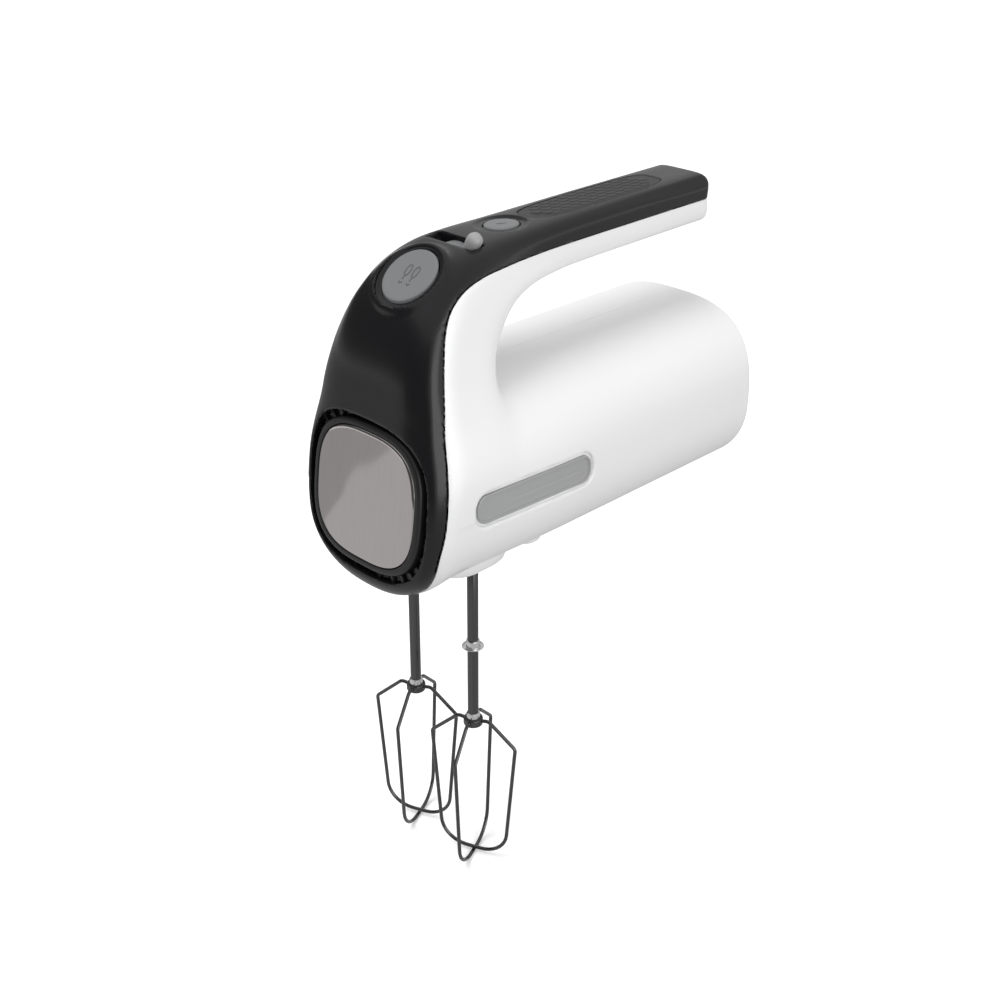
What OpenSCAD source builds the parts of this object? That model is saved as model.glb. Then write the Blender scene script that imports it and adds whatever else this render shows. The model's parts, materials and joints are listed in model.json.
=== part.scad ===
// Hand mixer, modelled standing on its beater tips.
// +X is forward (the nose), +Y is the mixer's left side, +Z is up.
// The origin is under the middle of the body, at the height of the beater tips.

/* [Body] */
// Length of the body from the heel to the foremost edge of the nose
body_len = 199.8; // [192:0.2:206]
// Half of the barrel's greatest width
barrel_half_w = 46.5; // [46:0.5:47]
// Height of the barrel's widest line
barrel_z = 191.5; // [191:0.5:192]
// Height of the barrel above its widest line
barrel_rise = 45; // [44.5:0.5:45.5]
// Depth of the barrel below its widest line
barrel_drop = 37; // [36.5:0.5:37.5]
// Thickness of the moulded walls
wall = 2.4; // [2:0.1:2.6]
// Radius of the nose's front edge
nose_round = 11.5; // [11:0.5:12]
// Gap between neighbouring covers
seam = 0.25; // [0.2:0.05:0.3]

/* [Nose trim] */
// Height of the nose plate's centre
nose_z = 195.5; // [195:0.1:196]
// Angle at which the nose leans back from upright
nose_lean = 7.1; // [6:0.1:8]
// Half width of the nose plate
plate_half = 29.4; // [28.6:0.2:29.4]
// Half width of the bezel round it
bezel_half = 32.4; // [32:0.2:32.6]

/* [Beaters] */
// Distance between the two beater axes
spindle_gap = 38; // [38:0.5:39]
// Greatest radius of a beater's cage
cage_r = 20.5; // [19:0.5:21]
// Height of the cage's shoulder
shoulder_z = 63; // [60:1:65]
// Diameter of the beater wire
wire_d = 1.7; // [1.5:0.1:2]
// Radius of a beater's shaft
shaft_r = 2.45; // [2.3:0.05:2.45]
// Turn of the loops about the shaft at rest
loop_turn = 22.5; // [20:0.5:25]

/* [Drive] */
// Teeth on each worm wheel
wheel_teeth = 37; // [37:1:37]
// Module of the worm drive
tooth_module = 0.8; // [0.8:0.01:0.8]
// Height of the motor's axis
motor_z = 190; // [190:0.5:190.5]

/* [Controls] */
// Radius of the ejector button
ejector_r = 12.5; // [12:0.1:12.6]
// Travel of the ejector button
ejector_travel = 7; // [6:0.5:7]
// Travel of the turbo button
turbo_travel = 2; // [1.5:0.1:2]
// Angle of the speed tab from upright at rest
tab_angle = 34; // [30:1:34]

/* [Hidden] */

$fn = 48;
eps = 0.01;

heel_x = -body_len / 2;
plate_x = body_len / 2;
nose_x = plate_x - 4.75;
axis_x = plate_x - 45.9;
ring_n = 40;

// Colours
white = [0.93, 0.93, 0.93];
black = [0.06, 0.06, 0.07];
charcoal = [0.13, 0.13, 0.14];
mid_grey = [0.5, 0.5, 0.51];
warm_metal = [0.62, 0.58, 0.57];
steel = [0.62, 0.63, 0.65];
copper = [0.78, 0.42, 0.2];
brass_tone = [0.8, 0.65, 0.3];
board_green = [0.1, 0.35, 0.2];
nylon = [0.85, 0.83, 0.76];

// ---------- shape helpers ----------

function mix(a, b, t) = a + (b - a) * t;
function clamp01(t) = min(1, max(0, t));
function ease(t) = let (c = clamp01(t)) c * c * (3 - 2 * c);
function spow(u, n) = sign(u) * pow(abs(u), 2 / n);

// Rounded square or pill outline from a superellipse
function squircle(half_u, half_v, n, count = 60) = [
    for (i = [0:count - 1])
        let (a = 360 * i / count)
        [half_u * spow(cos(a), n), half_v * spow(sin(a), n)]
];

// Smooth line through the given points
function spline_at(p, u) =
    let (last = len(p) - 1, i = min(last - 1, max(0, floor(u))), t = u - i)
    let (a = p[max(0, i - 1)], b = p[i], c = p[i + 1], d = p[min(last, i + 2)])
    0.5 * (2 * b + (c - a) * t + (2 * a - 5 * b + 4 * c - d) * t * t
        + (3 * b - a - 3 * c + d) * t * t * t);
function spline(p, steps) = [
    for (k = [0:(len(p) - 1) * steps]) spline_at(p, k / steps)
];

// Solid through a row of rings with equal point counts
module loft(rings) {
    n = len(rings[0]);
    m = len(rings);
    sides = [
        for (i = [0:m - 2], j = [0:n - 1])
            let (k = (j + 1) % n)
            each [[i * n + j, (i + 1) * n + k, i * n + k],
                  [i * n + j, (i + 1) * n + j, (i + 1) * n + k]]
    ];
    first = [[for (j = [0:n - 1]) j]];
    last = [[for (j = [n - 1:-1:0]) (m - 1) * n + j]];
    polyhedron([for (r = rings) each r], concat(sides, first, last), convexity = 8);
}

// Round tube along a path that lies in a plane with normal w
module wire(path, r, w, sides = 6) {
    last = len(path) - 1;
    loft([
        for (i = [0:last])
            let (d = path[min(last, i + 1)] - path[max(0, i - 1)])
            let (t = d / norm(d), v = cross(t, w))
            [for (j = [0:sides - 1])
                let (a = 360 * (j + 0.5) / sides)
                path[i] + r * (cos(a) * w + sin(a) * v)]
    ]);
}

// Helical spring of round wire, standing on z = 0
module coil(mean_r, wire_r, height, turns) {
    per_turn = 11;
    path = [
        for (i = [0:turns * per_turn])
            let (a = 360 * i / per_turn)
            [mean_r * cos(a), mean_r * sin(a),
             wire_r + (height - 2 * wire_r) * i / (turns * per_turn)]
    ];
    last = len(path) - 1;
    loft([
        for (i = [0:last])
            let (out = [path[i][0], path[i][1], 0] / mean_r)
            [for (j = [0:5])
                let (a = 60 * j)
                path[i] + wire_r * (cos(a) * [0, 0, 1] + sin(a) * out)]
    ]);
}

// Keeps a moulded shell as a single skin
module skin() {
    resize([0, 0, 0]) children();
}

module tube(r_out, r_in, h) {
    difference() {
        cylinder(r = r_out, h = h);
        translate([0, 0, -1]) cylinder(r = r_in, h = h + 2);
    }
}

module along_x(x) {
    translate([x, 0, motor_z]) rotate([0, 90, 0]) children();
}

module at_spindle(side) {
    translate([axis_x, side * spindle_gap / 2, 0]) children();
}

// Face of the nose, or a plane ahead of it: local X runs along +Y and local Y up the nose
module at_nose(ahead) {
    translate([nose_x, 0, nose_z]) rotate([0, -nose_lean, 0])
        translate([ahead, 0, 0]) rotate([90, 0, 90]) children();
}

// Flat plate in the YZ plane, thick along +X
module yz_plate(x, thick, points) {
    translate([x, 0, 0]) rotate([90, 0, 90]) linear_extrude(thick) polygon(points);
}

// ---------- outer form ----------

chin_start = axis_x + 16;
chin_end = axis_x + 43;
taper_start = axis_x - 40;
taper_end = axis_x + 37;
nose_taper = 3.3;
chin_drop = 2;
heel_round = 1.8;
lean_start = axis_x;
lean_end = axis_x + 26;

// One ring of the barrel, shrunk evenly by inset; near the nose it leans back with it
function barrel_ring(x, inset) =
    let (lean = tan(nose_lean) * clamp01((x - lean_start) / (lean_end - lean_start)))
    let (w = barrel_half_w - nose_taper * ease((x - taper_start) / (taper_end - taper_start)))
    let (chin = ease((x - chin_start) / (chin_end - chin_start)))
    let (drop = barrel_drop + chin_drop * chin, n_low = mix(2.2, 2.34, chin))
    [
        for (i = [0:ring_n - 1])
            let (a = 360 * (i + 0.5) / ring_n, low = a > 180)
            let (n = low ? n_low : mix(2.85, 2.6, chin), h = low ? drop : barrel_rise)
            let (z = barrel_z + (h - inset) * spow(sin(a), n))
            [x - lean * (z - nose_z), (w - inset) * spow(cos(a), n), z]
    ];

function round_inset(r, t) = r * (1 - cos(90 * t));

// Stations along the barrel as [x, extra inset]
barrel_stations = concat(
    [for (t = [1, 0.6, 0.25]) [heel_x + heel_round * (1 - sin(90 * t)), round_inset(heel_round, t)]],
    [for (x = [heel_x + heel_round + 1, -60, -10, 14, 26, 38, 50, 59, 64, 69, 74, 79]) [x, 0]],
    [for (t = [0:1 / 6:1.001])
        [nose_x - nose_round * (1 - sin(90 * t)), round_inset(nose_round, t)]]
);

// Barrel solid; a positive inset gives the inside of the wall
module barrel(inset = 0) {
    loft([
        for (s = barrel_stations)
            barrel_ring(s[0] - (s[0] > 0 ? inset : 0), s[1] + inset)
    ]);
}

// Inside of the barrel, open through the heel
module barrel_bore() {
    start = [heel_x - 2, 0];
    rest = [for (s = barrel_stations) if (s[0] > heel_x + heel_round) s];
    loft([
        for (s = concat([start], rest))
            barrel_ring(s[0] - (s[0] > 0 ? wall : 0), s[1] + wall)
    ]);
}

// Front and top line of the pillar and handle, then its rear and under line,
// and its half width, at matching places from the barrel to the handle's end
front_line = [
    [95, 200], [94, 215], [93.2, 232], [90.6, 248], [85.2, 262], [77.5, 274.1], [67, 283.1],
    [53.2, 289], [38, 291.2], [14, 291.9], [-36, 292.8], [heel_x + 3, 293.5]
];
rear_line = [
    [43, 200], [44, 215], [44.5, 229], [45, 240], [43, 250], [37.7, 258], [29, 265.3],
    [17, 268.8], [3, 270], [-15, 270.6], [-60, 271], [heel_x + 3, 271.3]
];
half_widths = [40, 39, 36.5, 32.4, 29.4, 27, 24.4, 21.4, 18.8, 17.2, 16.4, 16];
handle_round = 4;

function handle_ring(front, rear, half_w, n, inset, shift = 0) =
    let (mid = (front + rear) / 2, reach = (front - rear) / 2)
    let (k = 1 - inset / norm(reach))
    [
        for (i = [0:ring_n - 1])
            let (a = 360 * (i + 0.5) / ring_n)
            let (p = mid + reach * k * spow(cos(a), n))
            [p[0] + shift, (half_w - inset) * spow(sin(a), n), p[1]]
    ];

// Pillar and handle solid; a positive inset gives the inside of the wall
module handle(inset = 0) {
    steps = 3;
    f = spline(front_line, steps);
    b = spline(rear_line, steps);
    w = spline(half_widths, steps);
    last = len(f) - 1;
    loft(concat(
        [for (i = [0:last])
            handle_ring(f[i], b[i], w[i], mix(3.8, 5, i / last), inset)],
        [for (t = [0.3, 0.6, 0.85, 1])
            handle_ring(f[last], b[last], w[last], 5,
                inset + round_inset(handle_round, t) * 0.5, (inset - 3) * sin(90 * t))]
    ));
}

module outer_form() {
    barrel();
    handle();
}

module inner_form() {
    barrel_bore();
    handle(wall);
}

// Line where the black cover meets the white shells, seen from the side
cover_z = 283.4;
cover_line = [
    [heel_x - 5, cover_z], [-6, 283.1], [18, 283], [36, 283.1], [50, 282.6], [61.6, 280],
    [70.5, 274.2], [75.6, 266.4], [79.2, 255], [82.2, 242.5], [85.1, 229.5], [88, 212],
    [90.8, 192], [93, 179], [92.5, 163], [90, 140]
];

module cover_zone(grow) {
    edge = spline(cover_line, 3);
    back = [[heel_x - 20, cover_z], [heel_x - 20, 320], [140, 320], [140, 140]];
    translate([0, 70, 0]) rotate([90, 0, 0]) linear_extrude(140)
        offset(delta = grow) polygon(concat(edge, [for (i = [3:-1:0]) back[i]]));
}

// ---------- fixed covers ----------

trim_x = axis_x - 11.5;
trim_z = 196;
trim_len = 63.5;
trim_h = 12.6;
pocket_depth = 1.4;

// Pill-shaped prism through one flank
module pill_prism(grow, side) {
    r = trim_h / 2 - 1 + grow;
    span = trim_len / 2 + grow - r;
    rise = trim_h / 2 + grow - r;
    translate([trim_x, side * 30, trim_z]) rotate([-90 * side, 0, 0])
        linear_extrude(30) offset(r = r) square([2 * span, 2 * rise], center = true);
}

screw_spots = [
    [heel_x + 11, 225], [heel_x + 19, 163], [-60, 228], [-82, 277], [-12, 277], [68, 172.5]
];
boss_r = 3.4;
screw_r = 1.4;
head_r = 2.6;
head_y = 8;

module screw_bosses(side) {
    for (s = screw_spots)
        translate([s[0], side * seam / 2, s[1]]) rotate([-90 * side, 0, 0])
            cylinder(r = boss_r, h = 60, $fn = 20);
}

// Bore for each screw, wide where its head goes in from the right side
module screw_bores() {
    for (s = screw_spots) translate([s[0], 0, s[1]]) rotate([90, 0, 0]) {
        cylinder(r = screw_r + 0.1, h = 20, center = true, $fn = 16);
        translate([0, 0, head_y]) cylinder(r = head_r + 0.2, h = 60, $fn = 20);
    }
}

boss_x0 = axis_x - 25;
boss_x1 = axis_x + 19;
boss_half_y = 24.6;
boss_z = 153;

// Outline of the socket boss, seen from below
module boss_outline(grow) {
    translate([(boss_x0 + boss_x1) / 2, 0])
        polygon(squircle((boss_x1 - boss_x0) / 2 + grow, boss_half_y + grow, 3.2, 56));
}

// Outline of the rear foot, seen from below
module foot_outline(grow) {
    polygon(squircle(foot_half[0] + grow, foot_half[1] + grow, 3));
}

module housing(side) {
    skin() difference() {
        union() {
            difference() {
                outer_form();
                inner_form();
            }
            intersection() {
                screw_bosses(side);
                outer_form();
            }
        }
        cover_zone(seam);
        translate([-150, side > 0 ? -200 + seam / 2 : -seam / 2, 0]) cube([300, 200, 400]);
        intersection() {
            pill_prism(0.9, side);
            difference() {
                translate([0, side * 60 - 60, 150]) cube([110, 120, 100]);
                barrel(pocket_depth);
            }
        }
        screw_bores();
        translate([0, 0, 140]) linear_extrude(28) boss_outline(seam);
        translate([foot_x, 0, 140]) linear_extrude(22) foot_outline(seam);
    }
}

module left_housing() {
    color(white) housing(1);
}

module right_housing() {
    color(white) housing(-1);
}

tilt = 39;
ejector_x = axis_x + 14.8;
ejector_z = 281.8;
slot_x = axis_x - 9.5;
slot_half = 3.6;
turbo_x = axis_x - 35.5;
turbo_half = [8, 6.6];
grip_x = axis_x - 90;
grip_half = [41, 9.5];
grip_z = 291.3;
grip_thick = 1.4;
grip_slope = 0.9;
recess_depth = 4.5;
recess_half = bezel_half + 2.8;
button_gap = 0.35;

// Outline of the nose trim; it is a little wider than it is tall
function nose_outline(half, count = 60) = squircle(half, half - 1.7, 2.94, count);

// Spots of the pins that hold the bezel
module at_pins() {
    for (y = [-12, 12], z = [-12, 12]) translate([y, z]) children();
}

// Wall behind the nose, which carries the bezel
module nose_bulkhead() {
    at_nose(-recess_depth - wall) translate([-50, -56]) linear_extrude(20) square([100, 95]);
}

module on_grip() {
    translate([grip_x, 0, grip_z]) rotate([0, grip_slope, 0]) children();
}

module ejector_shaft_hole(grow) {
    r = ejector_r + grow;
    translate([ejector_x, 0, 262]) linear_extrude(40)
        polygon(squircle(r * cos(tilt), r, 2, 48));
}

module front_cover() {
    vents = 24;
    color(black) skin() difference() {
        union() {
            intersection() {
                difference() {
                    outer_form();
                    difference() {
                        inner_form();
                        nose_bulkhead();
                    }
                }
                cover_zone(0);
            }
            intersection() {
                nose_bulkhead();
                barrel(wall + seam);
            }
        }
        at_nose(-recess_depth) linear_extrude(20) polygon(nose_outline(recess_half));
        for (p = nose_outline(recess_half - 1.4, vents))
            at_nose(-recess_depth) translate(p) cube([1.8, 1.8, 12], center = true);
        at_nose(-recess_depth - 4) at_pins() cylinder(r = 1.7, h = 8, $fn = 20);
        ejector_shaft_hole(button_gap);
        translate([slot_x - slot_half, -15.8, 276]) cube([2 * slot_half, 31.6, 30]);
        translate([turbo_x, 0, 280]) linear_extrude(20)
            polygon(squircle(turbo_half[0] + button_gap, turbo_half[1] + button_gap, 2, 40));
        on_grip() translate([0, 0, -0.05]) linear_extrude(10)
            polygon(squircle(grip_half[0] + 0.2, grip_half[1] + 0.2, 4));
    }
}

module grip_pad() {
    ridges = 15;
    pitch = 2 * (grip_half[0] - 4) / ridges;
    color(charcoal) {
        on_grip() linear_extrude(grip_thick) polygon(squircle(grip_half[0], grip_half[1], 4));
        for (i = [0:ridges - 1])
            on_grip() translate([pitch * (i + 0.5) - grip_half[0] + 4 - 0.9, -7.5, grip_thick - eps])
                cube([1.8, 15, 0.5]);
    }
}

module heel_plate() {
    inset = wall + 0.15;
    ring = [for (p = barrel_ring(heel_x, inset)) [p[1], p[2]]];
    color(white) difference() {
        yz_plate(heel_x, 2.5, ring);
        translate([heel_x - 1, 0, gland_z]) rotate([0, 90, 0]) cylinder(r = gland_r + 0.05, h = 6);
        for (i = [-4:4])
            translate([heel_x - 1, i * 6 - 1.1, barrel_z - 5]) cube([6, 2.2, 26]);
    }
}

gland_z = 172;
gland_r = 5.5;
gland_bore = 3.6;

module cable_gland() {
    color(charcoal) translate([heel_x + 0.1, 0, gland_z]) rotate([0, 90, 0]) difference() {
        union() {
            cylinder(r = gland_r, h = 14);
            translate([0, 0, 2.6]) cylinder(r = gland_r + 2, h = 3);
        }
        translate([0, 0, -1]) cylinder(r = gland_bore, h = 13);
    }
}

module nose_bezel() {
    floor_gap = 0.6;
    color(charcoal) {
        difference() {
            at_nose(floor_gap - recess_depth) linear_extrude(recess_depth + 1 - floor_gap)
                polygon(nose_outline(bezel_half));
            at_nose(-1) linear_extrude(6) polygon(nose_outline(plate_half + 0.1));
        }
        at_nose(-recess_depth - 2.2) at_pins() cylinder(r = 1.6, h = 3);
    }
}

// Slightly domed metal plate
module nose_plate() {
    levels = [[1, 0], [1, 1.2], [0.985, 1.6], [0.9, 2.2], [0.7, 2.8], [0.4, 3.25], [0.12, 3.4]];
    color(warm_metal) at_nose(-0.9) loft([
        for (s = levels) [for (p = nose_outline(plate_half, 44)) [p[0] * s[0], p[1] * s[0], s[1]]]
    ]);
}

module trim_plate(side) {
    color(mid_grey) skin() difference() {
        intersection() {
            pill_prism(0, side);
            barrel(0.35);
        }
        barrel(pocket_depth - 0.1);
    }
}

module left_trim_plate() {
    trim_plate(1);
}

module right_trim_plate() {
    trim_plate(-1);
}

foot_x = axis_x - 37;
foot_half = [9.3, 21];
foot_z = boss_z - 1;

// Thick pad under the body that carries the two beater sockets
module socket_boss() {
    color(white) difference() {
        translate([0, 0, boss_z]) linear_extrude(14) boss_outline(0);
        for (side = [-1, 1]) at_spindle(side) {
            translate([0, 0, boss_z - 1]) cylinder(r = socket_r, h = 20);
            translate([0, 0, spindle_z0 - 0.5]) cylinder(r = spindle_r + 0.5, h = 20);
        }
        translate([axis_x, 0, boss_z + 9]) cube([24, 20, 14], center = true);
    }
}

module rear_foot() {
    color(white) difference() {
        translate([foot_x, 0, foot_z]) linear_extrude(8.5) foot_outline(0);
        translate([foot_x, 0, foot_z + 2]) linear_extrude(8.5) foot_outline(-2);
    }
}

module body_screws() {
    color(steel) for (s = screw_spots) translate([s[0], 0, s[1]]) rotate([90, 0, 0]) difference() {
        union() {
            translate([0, 0, -9]) cylinder(r = screw_r, h = head_y + 9.5);
            translate([0, 0, head_y + 0.05]) cylinder(r = head_r, h = 2);
        }
        for (a = [0, 90])
            rotate(a) translate([0, 0, head_y + 2]) cube([3, 0.7, 1.4], center = true);
    }
}

// ---------- ejector ----------

yoke_z = 226;
yoke_bar = 4;
stem_r = 4;

module ejector_button() {
    color(mid_grey) intersection() {
        ejector_shaft_hole(0);
        translate([ejector_x, 0, ejector_z]) rotate([0, tilt, 0])
            translate([0, 0, -6]) cylinder(r = ejector_r + 1, h = 6);
    }
}

// Stem and cross bar that carry the button's push down to the two pushers
module ejector_yoke() {
    top = ejector_z - 8.5;
    color(nylon) {
        difference() {
            translate([ejector_x, 0, yoke_z + yoke_bar])
                cylinder(r = stem_r, h = top - yoke_z - yoke_bar + 3);
            translate([ejector_x, 0, ejector_z]) rotate([0, tilt, 0])
                translate([0, 0, -6.05]) cylinder(r = 30, h = 30);
        }
        translate([axis_x - 4, -spindle_gap / 2 - 5, yoke_z]) cube([8, spindle_gap + 10, yoke_bar]);
        translate([axis_x + 4 - eps, -4, yoke_z]) cube([20, 8, yoke_bar]);
    }
}

spring_base_z = yoke_z - 2 * ejector_travel;

module ejector_spring() {
    color(steel) translate([ejector_x + 3, 0, spring_base_z])
        coil(3.4, 0.5, yoke_z - spring_base_z - 0.1, 5);
}

// ---------- speed selector ----------

drum_z = 276;
drum_r = 13.4;
drum_half = 3;
tab_len = 9.6;

module selector_drum() {
    color(mid_grey) translate([slot_x - drum_half, 0, drum_z]) rotate([0, 90, 0]) difference() {
        cylinder(r = drum_r, h = 2 * drum_half);
        translate([0, 0, -1]) cylinder(r = 2.55, h = 2 * drum_half + 2);
    }
}

module selector_tab() {
    color(mid_grey) translate([slot_x, 0, drum_z]) rotate([-tab_angle, 0, 0])
        translate([0, 0, drum_r + 0.05]) linear_extrude(tab_len)
            polygon(squircle(drum_half, 2.8, 3, 40));
}

module selector_axle() {
    color(steel) translate([slot_x - 9, 0, drum_z]) rotate([0, 90, 0]) cylinder(r = 2.5, h = 18);
}

module speed_switch() {
    color(charcoal) difference() {
        translate([slot_x - 17, -9, drum_z - 7]) cube([12, 18, 13]);
        translate([slot_x - 9.2, 0, drum_z]) rotate([0, 90, 0]) cylinder(r = 2.55, h = 12);
    }
}

// ---------- turbo ----------

turbo_top = 293;
turbo_base_z = turbo_top - 8.3 - turbo_travel;

module turbo_button() {
    color(mid_grey) {
        translate([turbo_x, 0, turbo_top - 4]) linear_extrude(4)
            polygon(squircle(turbo_half[0], turbo_half[1], 2, 40));
        translate([turbo_x, 0, turbo_top - 8]) cylinder(r = 2, h = 4 + eps);
    }
}

module turbo_spring() {
    color(steel) translate([turbo_x, 0, turbo_base_z]) coil(3, 0.35, turbo_top - 4.1 - turbo_base_z, 4);
}

module turbo_switch() {
    color(charcoal) translate([turbo_x - 7, -5, turbo_base_z - 6.1]) cube([14, 10, 6]);
}

// ---------- gearbox ----------

case_half = [19, 36.4];
case_wall = 1.6;
case_z0 = 180;
case_z1 = 197;
wheel_z = motor_z - 2.5;
wheel_h = 5;
spindle_r = 5;
bore_r = shaft_r + 0.05;
spindle_z0 = 157;
socket_r = 3.8;
spindle_z1 = 205;
bush_r = 7.5;

module gear_case() {
    color(nylon) difference() {
        translate([axis_x - case_half[0], -case_half[1], case_z0])
            cube([2 * case_half[0], 2 * case_half[1], case_z1 - case_z0]);
        translate([axis_x - case_half[0] + case_wall, -case_half[1] + case_wall, case_z0 + 3])
            cube([2 * (case_half[0] - case_wall), 2 * (case_half[1] - case_wall), 40]);
        for (side = [-1, 1])
            at_spindle(side) translate([0, 0, case_z0 - 1]) cylinder(r = bush_r, h = 6);
        along_x(axis_x - case_half[0] - 1) cylinder(r = 7.05, h = 2 * case_half[0] + 2);
    }
}

module gear_cover() {
    color(nylon) difference() {
        translate([axis_x - case_half[0], -case_half[1], case_z1])
            cube([2 * case_half[0], 2 * case_half[1], 3]);
        for (side = [-1, 1])
            at_spindle(side) translate([0, 0, case_z1 - 1]) cylinder(r = bush_r, h = 6);
    }
    color(nylon) translate([ejector_x + 3, 0, case_z1 - eps])
        cylinder(r = 5.5, h = spring_base_z - case_z1);
}

module spindle_bushes() {
    color(brass_tone) for (side = [-1, 1]) at_spindle(side) {
        translate([0, 0, case_z0]) tube(bush_r, spindle_r + 0.05, 5);
        translate([0, 0, case_z1]) tube(bush_r, spindle_r + 0.05, 4);
    }
}

wheel_pitch_r = wheel_teeth * tooth_module / 2;
worm_pitch_r = spindle_gap / 2 - wheel_pitch_r;
worm_pitch = PI * tooth_module;

// One tooth as [share of the pitch angle, height over the pitch circle]
tooth_points = [[-0.3, -1], [-0.19, 0], [-0.09, 0.8], [0.09, 0.8], [0.19, 0], [0.3, -1]];

// Toothed outline with a tooth or a gap facing the worm
function wheel_outline(turn) = [
    for (i = [0:wheel_teeth - 1], c = tooth_points)
        let (a = turn + 360 * (i + c[0]) / wheel_teeth, r = wheel_pitch_r + c[1] * 0.95 * tooth_module)
        [r * cos(a), r * sin(a)]
];

module worm_wheel(side) {
    half_tooth = 180 / wheel_teeth;
    turn = side > 0 ? -90 : 90 + half_tooth;
    color(nylon) at_spindle(side) translate([0, 0, wheel_z]) difference() {
        union() {
            linear_extrude(wheel_h) polygon(wheel_outline(turn));
            translate([0, 0, -1.5]) cylinder(r = 8.5, h = wheel_h + 3);
        }
        translate([0, 0, -3]) cylinder(r = spindle_r, h = wheel_h + 6);
    }
}

module left_worm_wheel() {
    worm_wheel(1);
}

module right_worm_wheel() {
    worm_wheel(-1);
}

// Hollow spindle: the beater plugs in from below, the pusher from above
module spindle(side) {
    color(steel) at_spindle(side) translate([0, 0, spindle_z0])
        tube(spindle_r, bore_r, spindle_z1 - spindle_z0);
}

module left_spindle() {
    spindle(1);
}

module right_spindle() {
    spindle(-1);
}

shaft_top = 185;
pusher_top = yoke_z - 0.3;
pusher_cap = 3;

module pusher(side) {
    color(nylon) at_spindle(side) {
        translate([0, 0, shaft_top])
            cylinder(r = bore_r - 0.06, h = pusher_top - shaft_top - pusher_cap + eps);
        translate([0, 0, pusher_top - pusher_cap]) cylinder(r = 5, h = pusher_cap);
    }
}

module left_pusher() {
    pusher(1);
}

module right_pusher() {
    pusher(-1);
}

// ---------- beaters ----------

hub_z0 = 73.2;
hub_z1 = 81;
hub_r = 4.4;

module beater_shaft(side) {
    color(steel) at_spindle(side) translate([0, 0, hub_z0])
        cylinder(r = shaft_r, h = shaft_top - hub_z0 - 0.05);
}

module beater_hub(side) {
    color(steel) at_spindle(side) translate([0, 0, hub_z0]) difference() {
        union() {
            cylinder(r = hub_r, h = 4);
            translate([0, 0, 4 - eps]) cylinder(r1 = hub_r, r2 = shaft_r + 0.7, h = hub_z1 - hub_z0 - 4);
        }
        translate([0, 0, -1]) cylinder(r = shaft_r, h = 20);
    }
}

// One side of a loop as [radius, height], from the hub to the bottom
arm_points = [
    [hub_r + 0.05, 74.5], [6.2, 75.2], [8.6, 74.6], [14.2, 68.9], [cage_r - 1.2, shoulder_z + 1],
    [cage_r - 0.1, shoulder_z - 1.6], [19.1, 44], [17.1, 20], [15.8, 11], [11.6, 4], [5.8, 0.9], [0, 0]
];

module loop_wire(side, turn, lift) {
    arm = spline(arm_points, 2);
    n = len(arm);
    c = cos(turn);
    s = sin(turn);
    low = wire_d / 2 + lift;
    span = 74.5;
    path = concat(
        [for (i = [0:n - 1]) [c * arm[i][0], s * arm[i][0], low + arm[i][1] * (span - lift) / span]],
        [for (i = [n - 2:-1:0]) [-c * arm[i][0], -s * arm[i][0], low + arm[i][1] * (span - lift) / span]]
    );
    color(steel) at_spindle(side) wire(path, wire_d / 2, [-s, c, 0]);
}

module left_beater_shaft() {
    beater_shaft(1);
}

module right_beater_shaft() {
    beater_shaft(-1);
}

module left_beater_hub() {
    beater_hub(1);
}

module right_beater_hub() {
    beater_hub(-1);
}

module left_outer_loop() {
    loop_wire(1, loop_turn, 0);
}

module left_inner_loop() {
    loop_wire(1, loop_turn + 90, wire_d);
}

module right_outer_loop() {
    loop_wire(-1, loop_turn, 0);
}

module right_inner_loop() {
    loop_wire(-1, loop_turn + 90, wire_d);
}

collar_z = 113.8;

// Flange that keeps the left beater out of the right socket
module collar_ring() {
    color(steel) at_spindle(1) translate([0, 0, collar_z]) {
        tube(3.1, shaft_r, 4);
        tube(4.9, shaft_r, 1.1);
    }
}

// ---------- motor ----------

core_x0 = axis_x - 86;
core_x1 = axis_x - 48;
rotor_r = 17;
shaft_motor_r = 3;
bearing_r = 7;
front_bearing_x = axis_x + case_half[0] - 5;
rear_bearing_x = heel_x + 24;
commutator_x = core_x0 - 18;
fan_x = axis_x - 42;
coil_z = 20.8;
coil_h = 6.4;

module rotor_shaft() {
    color(steel) along_x(rear_bearing_x - 2)
        cylinder(r = shaft_motor_r, h = front_bearing_x + 7 - rear_bearing_x);
}

// Height of the thread over the root at a fraction of one turn
function thread(f) =
    let (d = abs(f - 0.5) * 2) clamp01((0.5 - d) / 0.3);

module worm() {
    root = worm_pitch_r - 0.85 * tooth_module;
    tip = worm_pitch_r + 0.75 * tooth_module;
    turns = 5;
    per_turn = 12;
    corners = 16;
    length = turns * worm_pitch;
    rings = [
        for (k = [0:turns * per_turn])
            [for (i = [0:corners - 1])
                let (a = 360 * (i / corners + k / per_turn - turns / 2))
                let (r = mix(root, tip, thread(i / corners)))
                [length * (k / (turns * per_turn) - 0.5), r * cos(a), r * sin(a)]]
    ];
    color(steel) translate([axis_x, 0, motor_z]) difference() {
        loft(rings);
        translate([-20, 0, 0]) rotate([0, 90, 0]) cylinder(r = shaft_motor_r, h = 40);
    }
}

module armature() {
    slots = 12;
    color(steel) along_x(core_x0 + 1) difference() {
        cylinder(r = rotor_r, h = core_x1 - core_x0 - 2);
        translate([0, 0, -1]) cylinder(r = shaft_motor_r, h = 60);
        for (i = [0:slots - 1])
            rotate(360 * i / slots) translate([rotor_r - 5, -0.9, -1]) cube([8, 1.8, 60]);
    }
}

module armature_windings() {
    color(copper) for (x = [core_x0 - 6, core_x1 - 0.9])
        along_x(x) tube(rotor_r - 2, shaft_motor_r + 1.5, 6.8);
}

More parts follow.
